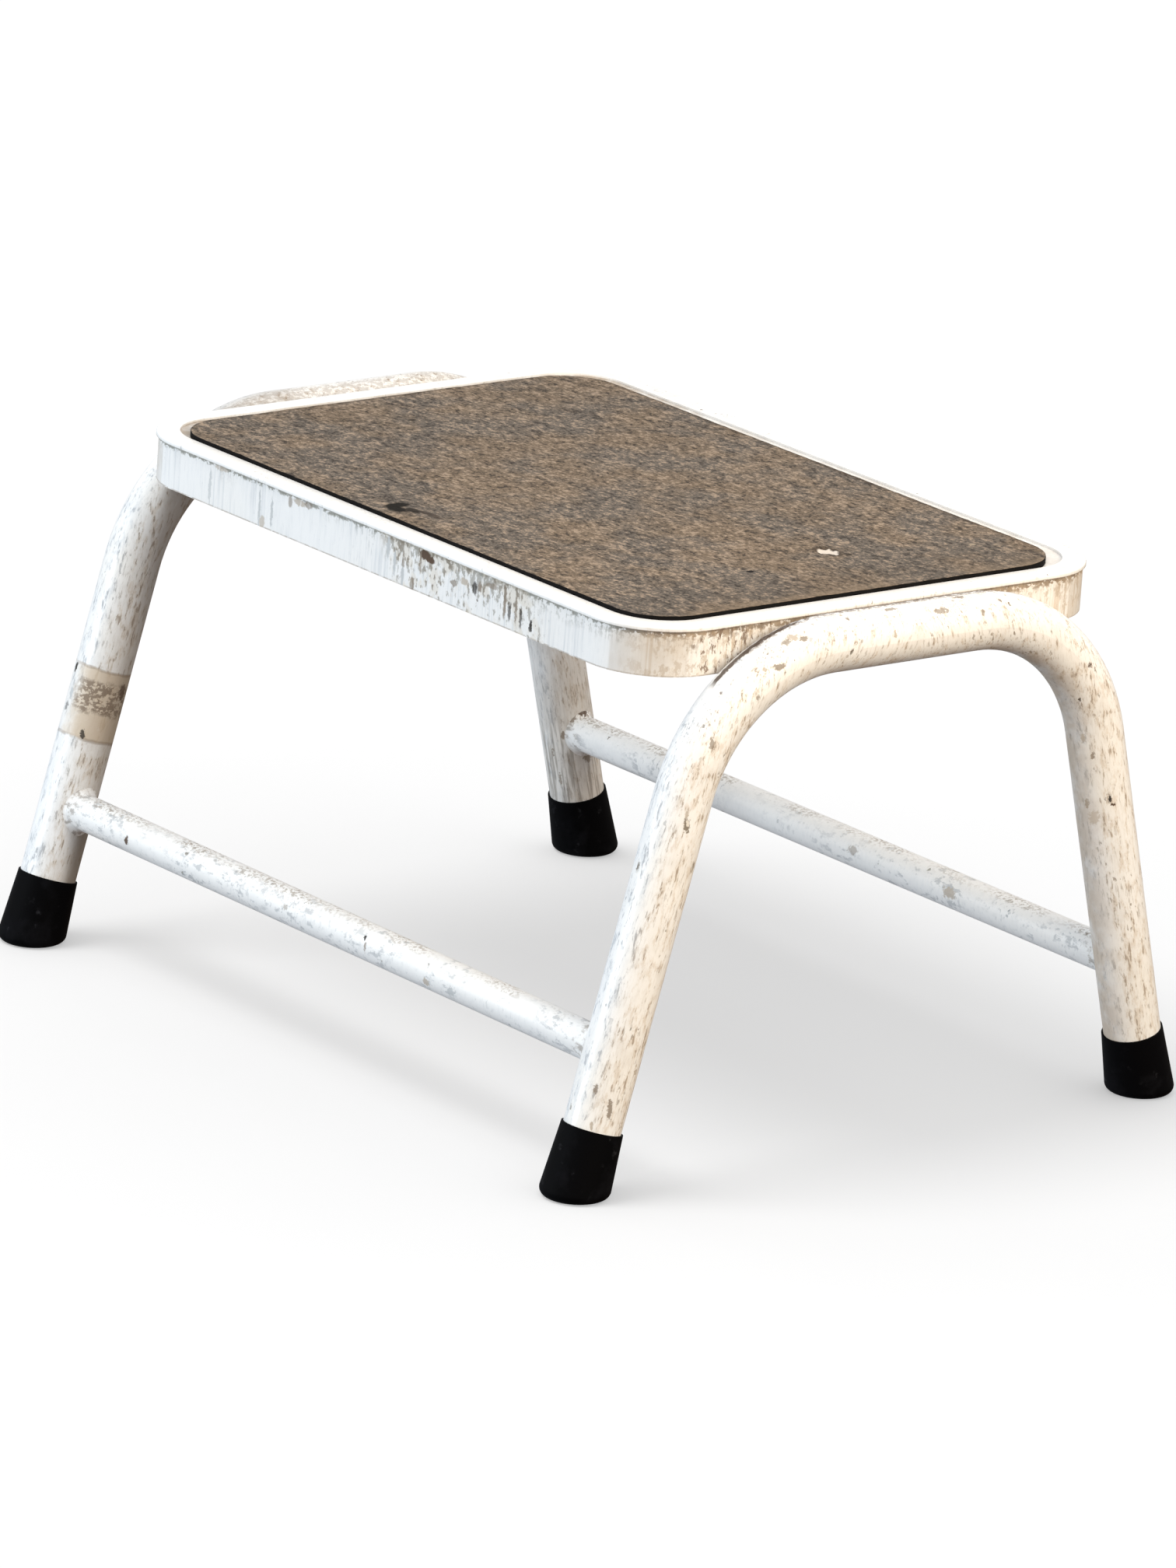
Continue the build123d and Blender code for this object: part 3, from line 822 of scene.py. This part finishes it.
# %% [markdown]
# ## Black rubber ferrules and the steel washers in them
#
# Moulded rubber is close to black and scatters what it reflects, so its base colour is almost
# nothing and its specular level is low. Dust from the floor clings to it in patches, more near the
# bottom, and grey scuffs show where it has been kicked.

# %% Ferrule rubber
RUBBER_BLACK = (0.0012, 0.0012, 0.0016)
RUBBER_DUST = (0.008, 0.008, 0.010)
RUBBER_SCUFF = (0.035, 0.035, 0.040)
ferrule_low, ferrule_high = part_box("front_right_ferrule")
rubber = Finish("black_ferrule_rubber")
scuffs = rubber.noise(5, 101.0, 4.0, 0.65)
powder = rubber.noise(14, 103.0, 3.0, 0.6)
near_floor = rubber.rise(rubber.z, ferrule_high.z * 0.75, ferrule_low.z)
dust_on_it = rubber.rise(powder + near_floor * 0.12, 0.55, 0.78)
scuff = rubber.rise(scuffs, 0.60, 0.74) * rubber.rise(powder, 0.45, 0.6)
rubber.colour = rubber.blend(dust_on_it * 0.5, RUBBER_BLACK, RUBBER_DUST)
rubber.lay(scuff * 0.5, RUBBER_SCUFF)
pores = rubber.noise(0.9, 105.0, 2.0)
rubber.set(Base_Color=rubber.colour, Roughness=0.62 + dust_on_it * 0.2, Specular_IOR_Level=0.035,
           Normal=rubber.bump(pores * 0.4 + scuffs * 0.6, 0.12 * MM))

# %% Washer steel
STEEL = (0.55, 0.55, 0.56)
STEEL_STAIN = (0.30, 0.22, 0.16)
steel = Finish("ferrule_washer_steel")
turning = steel.noise((0.4, 0.4, 4), 111.0, 2.0)
stain = steel.noise(6, 113.0, 3.0)
colour = steel.blend(steel.rise(stain, 0.50, 0.75), STEEL, STEEL_STAIN)
steel.set(Base_Color=colour, Metallic=1.0, Roughness=0.32 + turning * 0.3,
          Normal=steel.bump(turning, 0.03 * MM))

for side_name in ("front", "rear"):
    for end_name in ("left", "right"):
        paint_node(f"{side_name}_{end_name}_ferrule", rubber)
        paint_node(f"{side_name}_{end_name}_ferrule_washer", steel)


# %% [markdown]
# ## Mesh pieces of our own
#
# Two things need a better shape than their CAD solid has: the rubber mat, whose top is dished,
# pitted and torn, and the four weld beads, which a hand laid in ripples. Both are built as meshes
# in the object's own place, then tied to the body, and the CAD nodes that they stand for are hidden.

# %% Helpers for new pieces
def add_piece(name, points, faces, finish, replaced):
    """Makes a smooth mesh piece that stands for a CAD node."""
    mesh = bpy.data.meshes.new(name)
    mesh.from_pydata(points, [], faces)
    mesh.update()
    mesh.materials.append(finish.material)
    mesh.shade_smooth()
    piece = bpy.data.objects.new(name, mesh)
    bpy.context.scene.collection.objects.link(piece)
    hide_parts(replaced)
    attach(piece, "root")
    return piece


# %% [markdown]
# ## The mat's shape
#
# A square grid can be bent into a rounded rectangle: in each corner a square of the grid is mapped
# onto a quarter disc, ring by ring, which keeps the quads even and puts the outer ring exactly on
# the arc. The top then gets its wear: a slight dish where feet land, fine pits, and one place where
# a flap has torn out and its lip stands up. Loops round the edge give it a soft corner and an
# upright side.

# %% Mat: the outline
MAT_CORNER = 25.2 * MM
MAT_EDGE = 0.45 * MM
MAT_STEP = 1.25 * MM
mat_middle = (mat_low + mat_high) / 2
half_x = (mat_high.x - mat_low.x) / 2 - MAT_EDGE
half_y = (mat_high.y - mat_low.y) / 2 - MAT_EDGE
corner = MAT_CORNER - MAT_EDGE
count_x = round(2 * half_x / MAT_STEP)
count_y = round(2 * half_y / MAT_STEP)


def bend_corner(x, y):
    """Moves a point of the square grid into the rounded rectangle."""
    past_x = abs(x) - (half_x - corner)
    past_y = abs(y) - (half_y - corner)
    if past_x <= 0 or past_y <= 0:
        return x, y
    ring = max(past_x, past_y)
    angle = math.pi / 4 * min(past_x, past_y) / ring
    far, near = ring * math.cos(angle), ring * math.sin(angle)
    if past_x < past_y:
        far, near = near, far
    return math.copysign(half_x - corner + far, x), math.copysign(half_y - corner + near, y)


# %% Mat: the height of the top
TEAR = Vector((121.5 * MM, 20.5 * MM, 0.0))
TEAR_HALF = (6.5 * MM, 4.2 * MM)


def tear_depth(x, y):
    """How far inside the torn place a point is: positive inside, negative outside."""
    jag = noise.noise(Vector((x, y, 0.3)) / (3.5 * MM)) * 0.45
    across = math.hypot((x - TEAR.x) / TEAR_HALF[0], (y - TEAR.y) / TEAR_HALF[1])
    return 1.0 + jag - across


def top_height(x, y):
    """The mat's top, in metres above its nominal height."""
    dish = noise.noise(Vector((x, y, 1.7)) / (55 * MM)) * 0.22 * MM
    pits = noise.noise(Vector((x, y, 5.1)) / (4.5 * MM)) * 0.10 * MM
    grain = noise.noise(Vector((x, y, 9.4)) / (2.0 * MM)) * 0.07 * MM
    inside = tear_depth(x, y)
    torn = -0.9 * MM * min(1.0, max(0.0, inside * 3.0))
    lip = 0.45 * MM * math.exp(-((inside + 0.12) / 0.16) ** 2)
    return dish + pits + grain + torn + lip


# %% Mat: build the slab
EDGE_TURNS = (0.0, 30.0, 60.0, 90.0)
SIDE_LEVELS = 3


def mat_mesh():
    """Points and faces of the mat: a grid for the top, loops for the edge, one face below."""
    points = []
    faces = []
    row = count_x + 1
    for j in range(count_y + 1):
        for i in range(count_x + 1):
            x, y = bend_corner((2 * i / count_x - 1) * half_x, (2 * j / count_y - 1) * half_y)
            x, y = x + mat_middle.x, y + mat_middle.y
            points.append((x, y, mat_high.z + top_height(x, y)))
    for j in range(count_y):
        for i in range(count_x):
            start = j * row + i
            faces.append((start, start + 1, start + row + 1, start + row))
    ring = list(range(count_x))
    ring += [j * row + count_x for j in range(count_y)]
    ring += [count_y * row + i for i in range(count_x, 0, -1)]
    ring += [j * row for j in range(count_y, 0, -1)]
    outward = []
    for index in ring:
        x, y = points[index][0] - mat_middle.x, points[index][1] - mat_middle.y
        inner_x = max(-(half_x - corner), min(half_x - corner, x))
        inner_y = max(-(half_y - corner), min(half_y - corner, y))
        outward.append(Vector((x - inner_x, y - inner_y, 0)).normalized())
    loops = [(math.sin(math.radians(turn)), 1 - math.cos(math.radians(turn))) for turn in EDGE_TURNS[1:]]
    side_height = mat_high.z - MAT_EDGE - mat_low.z
    levels = [(1.0, MAT_EDGE + side_height * (k + 1) / SIDE_LEVELS) for k in range(SIDE_LEVELS)]
    drops = [(out, down * MAT_EDGE) for out, down in loops] + levels
    last = ring
    for out, drop in drops:
        fresh = []
        for index, way in zip(ring, outward):
            top = Vector(points[index])
            cut = noise.noise(top / (6 * MM)) * 0.18 * MM * out
            edge = top + way * (out * MAT_EDGE + cut)
            share = min(1.0, drop / side_height)
            level = top.z * (1 - share) + mat_high.z * share - drop
            fresh.append(len(points))
            points.append((edge.x, edge.y, max(mat_low.z, level)))
        for k in range(len(ring)):
            after = (k + 1) % len(ring)
            faces.append((last[k], fresh[k], fresh[after], last[after]))
        last = fresh
    faces.append(tuple(reversed(last)))
    return points, faces


mat_points, mat_faces = mat_mesh()
print("the mat has", len(mat_points), "points and", len(mat_faces), "faces")

# %% [markdown]
# ## The mat's finish
#
# The sheet is black rubber, and you see that only on its cut side. The top has gone taupe with dust
# and wear: a grain of light and dark about 2 mm across, wide patches that lean warm or cool, and a
# few stains. A paler band just inside the near right edge is partly wear and partly a painted
# highlight along that edge. Where the flap tore out, the pale cord under the skin shows.

# %% Mat finish: the worn top
MAT_COOL = (0.125, 0.107, 0.091)
MAT_WARM = (0.165, 0.124, 0.088)
MAT_PALE = (0.33, 0.255, 0.19)
MAT_DARK = (0.040, 0.033, 0.028)
mat_rubber = Finish("worn_tread_rubber")
lean = mat_rubber.noise(42, 121.0, 3.0, 0.6)
blotch = mat_rubber.noise((7.0, 4.5, 5), 123.0, 3.0, 0.65)
grain = mat_rubber.noise((3.0, 2.2, 2.5), 125.0, 3.0, 0.7)
pepper = mat_rubber.noise(1.3, 127.0, 2.0, 0.6)
tone = (blotch - 0.5) * 1.0 + (grain - 0.5) * 1.5 + (pepper - 0.5) * 0.9
mat_rubber.colour = mat_rubber.blend(mat_rubber.rise(lean, 0.38, 0.62), MAT_COOL, MAT_WARM)
mat_rubber.lay(mat_rubber.rise(tone, 0.02, 0.30) * 0.9, MAT_PALE)
mat_rubber.lay(mat_rubber.rise(tone, -0.02, -0.30) * 0.9, MAT_DARK)

# %% Mat finish: the edges
MAT_SHADE = (0.045, 0.037, 0.031)
MAT_EDGE_BROWN = (0.060, 0.040, 0.026)
MAT_WORN_AND_HIGHLIT_BAND = (0.235, 0.18, 0.128)
from_rear = (mat_high.y - mat_rubber.y) / MM
from_right = (mat_high.x - mat_rubber.x) / MM
from_left = (mat_rubber.x - mat_low.x) / MM
right_band = mat_rubber.rise(from_right, 46.0, 8.0) * 0.22
mat_rubber.lay(right_band, MAT_SHADE)
for distance, reach, amount in ((from_rear, 3.5, 0.6), (from_left, 3.0, 0.5)):
    edge = mat_rubber.rise(distance + (blotch - 0.5) * 4.0, reach, 0.5)
    mat_rubber.lay(edge * amount, MAT_EDGE_BROWN)
# Partly wear, partly painted highlight: a paler band just inside the near right edge.
worn_and_highlit_band = mat_rubber.rise(from_right, 9.0, 3.0) * mat_rubber.rise(lean, 0.30, 0.60)
mat_rubber.lay(worn_and_highlit_band * 0.35, MAT_WORN_AND_HIGHLIT_BAND)

# %% Mat finish: the stains
mat_ragged = mat_rubber.ragged(3.0, 3.5, 131.0)
mat_stains = [
    # middle x and y, half sizes, colour, strength; in mm
    (-18.0, -108.0, 4.5, 9.0, (0.010, 0.008, 0.006), 1.0),
    (-13.0, -112.0, 8.0, 5.0, (0.010, 0.008, 0.006), 1.0),
    (-8.0, -107.0, 6.0, 3.4, (0.016, 0.012, 0.009), 0.9),
    (1.0, -104.0, 10.0, 2.6, (0.045, 0.034, 0.027), 0.8),
    (-130.1, -14.0, 2.4, 2.6, (0.025, 0.020, 0.016), 0.9),
    (132.4, -31.4, 1.7, 2.2, (0.012, 0.010, 0.009), 1.0),
    (-69.1, -21.5, 2.0, 2.0, (0.035, 0.028, 0.022), 0.8),
    (128.5, 26.5, 2.6, 2.0, (0.030, 0.024, 0.018), 0.9),
    (106.3, 74.9, 1.5, 1.8, (0.34, 0.27, 0.20), 0.8),
    (139.2, 87.2, 1.4, 2.0, (0.34, 0.28, 0.21), 0.8),
    (143.6, 96.9, 1.3, 1.8, (0.30, 0.24, 0.18), 0.8),
    (84.0, -84.0, 3.0, 2.0, (0.26, 0.20, 0.15), 0.7),
    (102.0, -96.0, 2.4, 2.2, (0.25, 0.20, 0.15), 0.6),
]
for x, y, half_x_mm, half_y_mm, stain_colour, strength in mat_stains:
    centre = (x * MM, y * MM, mat_high.z)
    inside = mat_rubber.spot(mat_ragged, centre, (half_x_mm * MM, half_y_mm * MM, 8 * MM))
    mat_rubber.lay(mat_rubber.rise(inside, 0.0, 0.5) * strength, stain_colour)
print("the mat has", len(mat_stains), "placed stains")

# %% Mat finish: the tear
TEAR_SHADOW = (0.045, 0.034, 0.026)
PALE_CORD = (0.62, 0.56, 0.50)
tear_at = mat_rubber.spot(mat_rubber.ragged(3.2, 3.0, 133.0), (TEAR.x, TEAR.y, mat_high.z),
                          (TEAR_HALF[0] * 1.15, TEAR_HALF[1] * 1.15, 9 * MM))
tear_shadow = mat_rubber.rise(tear_at, -0.25, 0.02)
mat_rubber.lay(tear_shadow * 0.75, TEAR_SHADOW)
mat_rubber.lay(mat_rubber.rise(tear_at, 0.12, 0.30), PALE_CORD)

# %% [markdown]
# The cut side is found by the surface's own normal: it is the only part of the sheet, except for
# the walls of the tear, that doesn't face up.

# %% Mat finish: the black side
MAT_SIDE_BLACK = (0.003, 0.0025, 0.0025)
side = mat_rubber.rise(mat_rubber.facing(UP), 0.88, 0.70) * mat_rubber.rise(tear_at, -0.45, -0.65)
mat_rubber.lay(side, MAT_SIDE_BLACK)
print("mat rubber has", len(mat_rubber.tree.nodes), "nodes")

mat_height = grain * 0.5 + pepper * 0.3 + blotch * 0.4
mat_rubber.set(Base_Color=mat_rubber.colour, Roughness=0.92 - grain * 0.12, Specular_IOR_Level=0.12,
               Normal=mat_rubber.bump(mat_height, 0.35 * MM))
add_piece("tread_mat", mat_points, mat_faces, mat_rubber, "rubber_mat")

# %% [markdown]
# ## The weld beads along the top bars
#
# Where a round tube lies against a flat apron there is a groove above and below the line of
# contact, and a bead of weld fills each. A bead is laid in small overlapping pools, so its face is
# a row of ripples, and its ends taper off. We sweep a small curved profile along the bar, and let
# the profile swell and shrink a little as it goes. Its back follows the apron and its belly the
# tube, each with a hair's clearance.

# %% Weld beads
BEAD_DIRT = (0.15, 0.10, 0.07)
BEAD_ROOT = 2.6 * MM
BEAD_REACH = 7.0 * MM
BEAD_CLEARANCE = 0.05 * MM
RIPPLE_PITCH = 2.4 * MM
RIPPLE_DEPTH = 0.28 * MM
FACE_POINTS = 7

bead_paint = OldPaint("painted_weld_bead")
bead_paint.lay_coat(bead_paint.place, (1.0, 2.0, 1.0), (1.2, 1.6, 1.2),
                    grimy=0.7, chippy=0.5, dusty=0.6)
packed = bead_paint.rise(bead_paint.noise((2.0, 4.5, 2.0), 141.0, 3.0, 0.6), 0.40, 0.56)
bead_paint.add_dirt_and_shade(packed * 0.85, BEAD_DIRT)
bead_paint.close_coat()


def bead_profile(reach):
    """A bead's section at one place: points of (out from the apron, away from the contact)."""
    def tube_gap(rise_from_contact):
        return tube_radius - math.sqrt(tube_radius ** 2 - rise_from_contact ** 2)

    back = [(BEAD_CLEARANCE, BEAD_ROOT), (BEAD_CLEARANCE, reach)]
    belly_top = tube_gap(reach) - BEAD_CLEARANCE
    face = []
    for k in range(1, FACE_POINTS):
        share = k / FACE_POINTS
        crown = 0.35 * MM * math.sin(math.pi * share)
        face.append((BEAD_CLEARANCE + (belly_top - BEAD_CLEARANCE) * share, reach - crown))
    belly = []
    for k in range(4):
        up = reach + (BEAD_ROOT - reach) * k / 3
        belly.append((max(1.5 * BEAD_CLEARANCE, tube_gap(up) - BEAD_CLEARANCE), up))
    return back + face + belly


def weld_bead(name, end, way, replaced):
    """One bead; end is -1 or 1 for left or right, way is 1 above the contact and -1 below."""
    low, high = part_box(replaced)
    length = high.y - low.y
    rings = round(length / (RIPPLE_PITCH / 6))
    points = []
    faces = []
    for ring in range(rings + 1):
        y = low.y + length * ring / rings
        ripple = abs(math.sin(math.pi * y / RIPPLE_PITCH)) * RIPPLE_DEPTH
        wander_by = noise.noise(Vector((end * 3.0, way * 5.0, y / (11 * MM)))) * 0.5 * MM
        taper = min(1.0, 6 * min(ring, rings - ring) / rings + 0.35)
        reach = BEAD_ROOT + (BEAD_REACH - BEAD_ROOT + wander_by - ripple) * taper
        for out, up in bead_profile(reach):
            points.append((end * (apron_x + out), y, bar_z + way * up))
    size = len(points) // (rings + 1)
    for ring in range(rings):
        for k in range(size):
            a, b = ring * size + k, ring * size + (k + 1) % size
            faces.append((a, b, b + size, a + size))
    faces.append(tuple(range(size)))
    faces.append(tuple(rings * size + k for k in reversed(range(size))))
    if end * way > 0:
        faces = [tuple(reversed(face)) for face in faces]
    return add_piece(name, points, faces, bead_paint, replaced)


for end_name, end in (("left", -1), ("right", 1)):
    for way_name, way in (("upper", 1), ("lower", -1)):
        weld_bead(f"{end_name}_{way_name}_weld_bead", end, way, f"{end_name}_bar_{way_name}_weld")

# %% [markdown]
# ## The floor
#
# A pale floor takes the soft shadow and nothing else. It is hidden from bounced and shadow rays,
# so that the shaded sides of the step are lit by the room's dim lower half, which is set below,
# and not by a sheet of white. It glows a little of itself, as a floor does in a wide white room,
# which keeps the shadow pale. Its back is clear, so that the step can be seen from underneath.

# %% Build the floor
FLOOR_PALE = (0.475, 0.475, 0.475)
FLOOR_DULL = (0.465, 0.465, 0.465)
FLOOR_HALF = 9.0
FLOOR_CELLS = 6
FLOOR_GLOW = (0.40, 0.40, 0.40)


def studio_floor():
    """A flat sheet of a few cells under the step, with a clear back."""
    finish = Finish("pale_studio_floor")
    mottle = finish.noise(350, 151.0, 2.0)
    colour = finish.blend(finish.rise(mottle, 0.3, 0.7), FLOOR_PALE, FLOOR_DULL)
    finish.set(Base_Color=colour, Roughness=0.95, Specular_IOR_Level=0.0,
               Emission_Color=FLOOR_GLOW, Emission_Strength=1.0)
    back = finish.node("ShaderNodeNewGeometry", output="Backfacing")
    clear = finish.node("ShaderNodeBsdfTransparent", output="BSDF")
    solid = Signal(finish, finish.shader.outputs["BSDF"])
    both = finish.node("ShaderNodeMixShader", None, {0: back, 1: solid, 2: clear}, "Shader")
    surface = finish.tree.nodes["Material Output"].inputs["Surface"]
    finish.tree.links.new(both.socket, surface)
    points = []
    faces = []
    for j in range(FLOOR_CELLS + 1):
        for i in range(FLOOR_CELLS + 1):
            x, y = 2 * i / FLOOR_CELLS - 1, 2 * j / FLOOR_CELLS - 1
            points.append((x * FLOOR_HALF, y * FLOOR_HALF, cad_low[2]))
    for j in range(FLOOR_CELLS):
        for i in range(FLOOR_CELLS):
            a = j * (FLOOR_CELLS + 1) + i
            faces.append((a, a + 1, a + FLOOR_CELLS + 2, a + FLOOR_CELLS + 1))
    mesh = bpy.data.meshes.new("studio_floor")
    mesh.from_pydata(points, [], faces)
    mesh.materials.append(finish.material)
    sheet = bpy.data.objects.new("studio_floor", mesh)
    bpy.context.scene.collection.objects.link(sheet)
    sheet.visible_diffuse = False
    sheet.visible_glossy = False
    sheet.visible_shadow = False
    return sheet


floor = studio_floor()
print("the floor is", 2 * FLOOR_HALF, "m across")

# %% [markdown]
# ## Light
#
# There are four soft boxes, a sun for the floor and a room. Two cool boxes stand in front, like a
# tall window and a low one, and the low one reaches in under the tray. A warm box is close to the
# right end, and a weak neutral one is overhead. Each box is described by the light it should give
# at the step, and its power follows from that: a small lamp of power P at distance d lights a
# surface that faces it by P / (pi * pi * d * d). Coloured boxes would tint the shadow on the floor,
# so light linking keeps all four off it, and a broad neutral sun that lights only the floor casts
# the shadow.

# %% Soft boxes
aim = Vector((0.0, 0.0, (cad_low[2] + cad_high[2]) / 2))


def soft_box(name, towards, distance, size, level, colour):
    """A square area light that stands in a direction from the step and faces it."""
    light = bpy.data.lights.new(name, "AREA")
    light.shape = "SQUARE"
    light.size = size
    light.color = colour
    light.energy = level * math.pi ** 2 * distance ** 2
    box = bpy.data.objects.new(name, light)
    way = Vector(towards).normalized()
    box.location = aim + way * distance
    box.rotation_euler = way.to_track_quat("Z", "Y").to_euler()
    bpy.context.scene.collection.objects.link(box)
    return box


WINDOW_COLOUR = (0.82, 0.925, 1.0)
WARM_COLOUR = (1.0, 0.81, 0.57)
NEUTRAL_COLOUR = (1.0, 1.0, 1.0)
boxes = [
    soft_box("cool_window_box", (-0.46, -0.80, 0.34), 2.4, 1.4, 0.18, WINDOW_COLOUR),
    soft_box("low_window_box", (-0.42, -0.88, 0.09), 2.4, 0.42, 0.30, WINDOW_COLOUR),
    soft_box("warm_end_box", (0.85, 0.04, 0.52), 1.25, 0.7, 0.76, WARM_COLOUR),
    soft_box("overhead_box", (0.0, -0.22, 1.0), 1.6, 0.9, 0.17, NEUTRAL_COLOUR),
]
spared = bpy.data.collections.new("not_lit_from_the_sides")
spared.objects.link(floor)
for box in boxes:
    box.light_linking.receiver_collection = spared
spared.collection_objects[0].light_linking.link_state = "EXCLUDE"
print(len(boxes), "soft boxes light the step and spare the floor")

# %% The sun that lights only the floor
SUN_LEVEL = 0.42
SUN_SPREAD = math.radians(28.0)
SUN_WAY = Vector((-0.22, -0.42, 1.0))

sun = bpy.data.lights.new("floor_sun", "SUN")
sun.energy = math.pi * SUN_LEVEL
sun.angle = SUN_SPREAD
floor_sun = bpy.data.objects.new("floor_sun", sun)
floor_sun.matrix_world = SUN_WAY.to_track_quat("Z", "Y").to_matrix().to_4x4()
bpy.context.scene.collection.objects.link(floor_sun)
floor_only = bpy.data.collections.new("lit_by_the_floor_sun")
floor_only.objects.link(floor)
floor_sun.light_linking.receiver_collection = floor_only
print("the floor's sun spreads over", round(math.degrees(sun.angle)), "degrees")

# %% [markdown]
# The room is a world colour that depends on the way a ray goes. It is bright above. Below it is
# dim, brown towards the dry side and blue grey towards the weather side, which gives the undersides
# of the tubes their colour. Where the camera sees it, it is plain white. The world's nodes are made
# through the same methods as a finish's, so we borrow them.

# %% The room
ROOM_ABOVE = (0.95, 0.95, 0.95)
ROOM_BELOW_WARM = (0.13, 0.075, 0.038)
ROOM_BELOW_COOL = (0.42, 0.455, 0.50)
ROOM_AS_SEEN = (1.0, 1.0, 1.0)
TO_DRY_SIDE = (0.8, 0.6, 0.0)


class Room(Finish):
    """The world's nodes."""

    def __init__(self, name):
        world = bpy.data.worlds.new(name)
        world.use_nodes = True
        bpy.context.scene.world = world
        self.tree = world.node_tree
        self.shader = self.tree.nodes["Background"]


room = Room("studio_room")
way = room.node("ShaderNodeTexCoord", output="Generated")
rise_of_way = room.node("ShaderNodeSeparateXYZ", inputs={0: way}, output="Z")
aside = room.vectors("DOT_PRODUCT", way, TO_DRY_SIDE, output="Value")
warmth = room.node("ShaderNodeMapRange", None,
                   {"Value": aside, "From Min": -0.5, "From Max": 0.3}, "Result")
below = room.blend(warmth, ROOM_BELOW_COOL, ROOM_BELOW_WARM)
lit = room.blend(room.rise(rise_of_way, -0.12, 0.10), below, ROOM_ABOVE)
seen = room.node("ShaderNodeLightPath", output="Is Camera Ray")
room.set(Color=room.blend(seen, lit, ROOM_AS_SEEN))
print("the room has", len(room.tree.nodes), "nodes")
bpy.context.scene.view_settings.view_transform = "Standard"

# %% [markdown]
# ## The camera
#
# The step is seen from its right front corner, a little above, through a long lens held slightly
# out of level. A long lens far away keeps the tray's edges nearly parallel. The camera looks along
# its own -Z axis, so we turn Z to point back from the step, and then roll about it.

# %% Camera
CAMERA_TURN = math.radians(50.672)
CAMERA_RISE = math.radians(16.515)
CAMERA_ROLL = math.radians(4.041)
CAMERA_DISTANCE = 5.0067
CAMERA_AIM = Vector((0.0956, -0.0829, 0.1444))
LENS_MM = 266.72
SENSOR_MM = 36.0

lens = bpy.data.cameras.new("camera")
lens.sensor_fit = "VERTICAL"
lens.sensor_height = SENSOR_MM
lens.lens = LENS_MM
lens.clip_end = 60.0
camera = bpy.data.objects.new("camera", lens)
bpy.context.scene.collection.objects.link(camera)
back = Vector((math.sin(CAMERA_TURN) * math.cos(CAMERA_RISE),
               -math.cos(CAMERA_TURN) * math.cos(CAMERA_RISE),
               math.sin(CAMERA_RISE)))
turned = back.to_track_quat("Z", "Y") @ Quaternion((0, 0, 1), CAMERA_ROLL)
camera.matrix_world = Matrix.Translation(CAMERA_AIM + back * CAMERA_DISTANCE) @ turned.to_matrix().to_4x4()
bpy.context.scene.camera = camera
print("the camera is", CAMERA_DISTANCE, "m away with a", LENS_MM, "mm lens")

# %% [markdown]
# ## Finish
#
# The box of what we made should agree with the box of the engineering model to within a fraction
# of a millimetre, because only the mat's pits and the beads' ripples changed.

# %% Close the scene
bpy.context.view_layer.update()
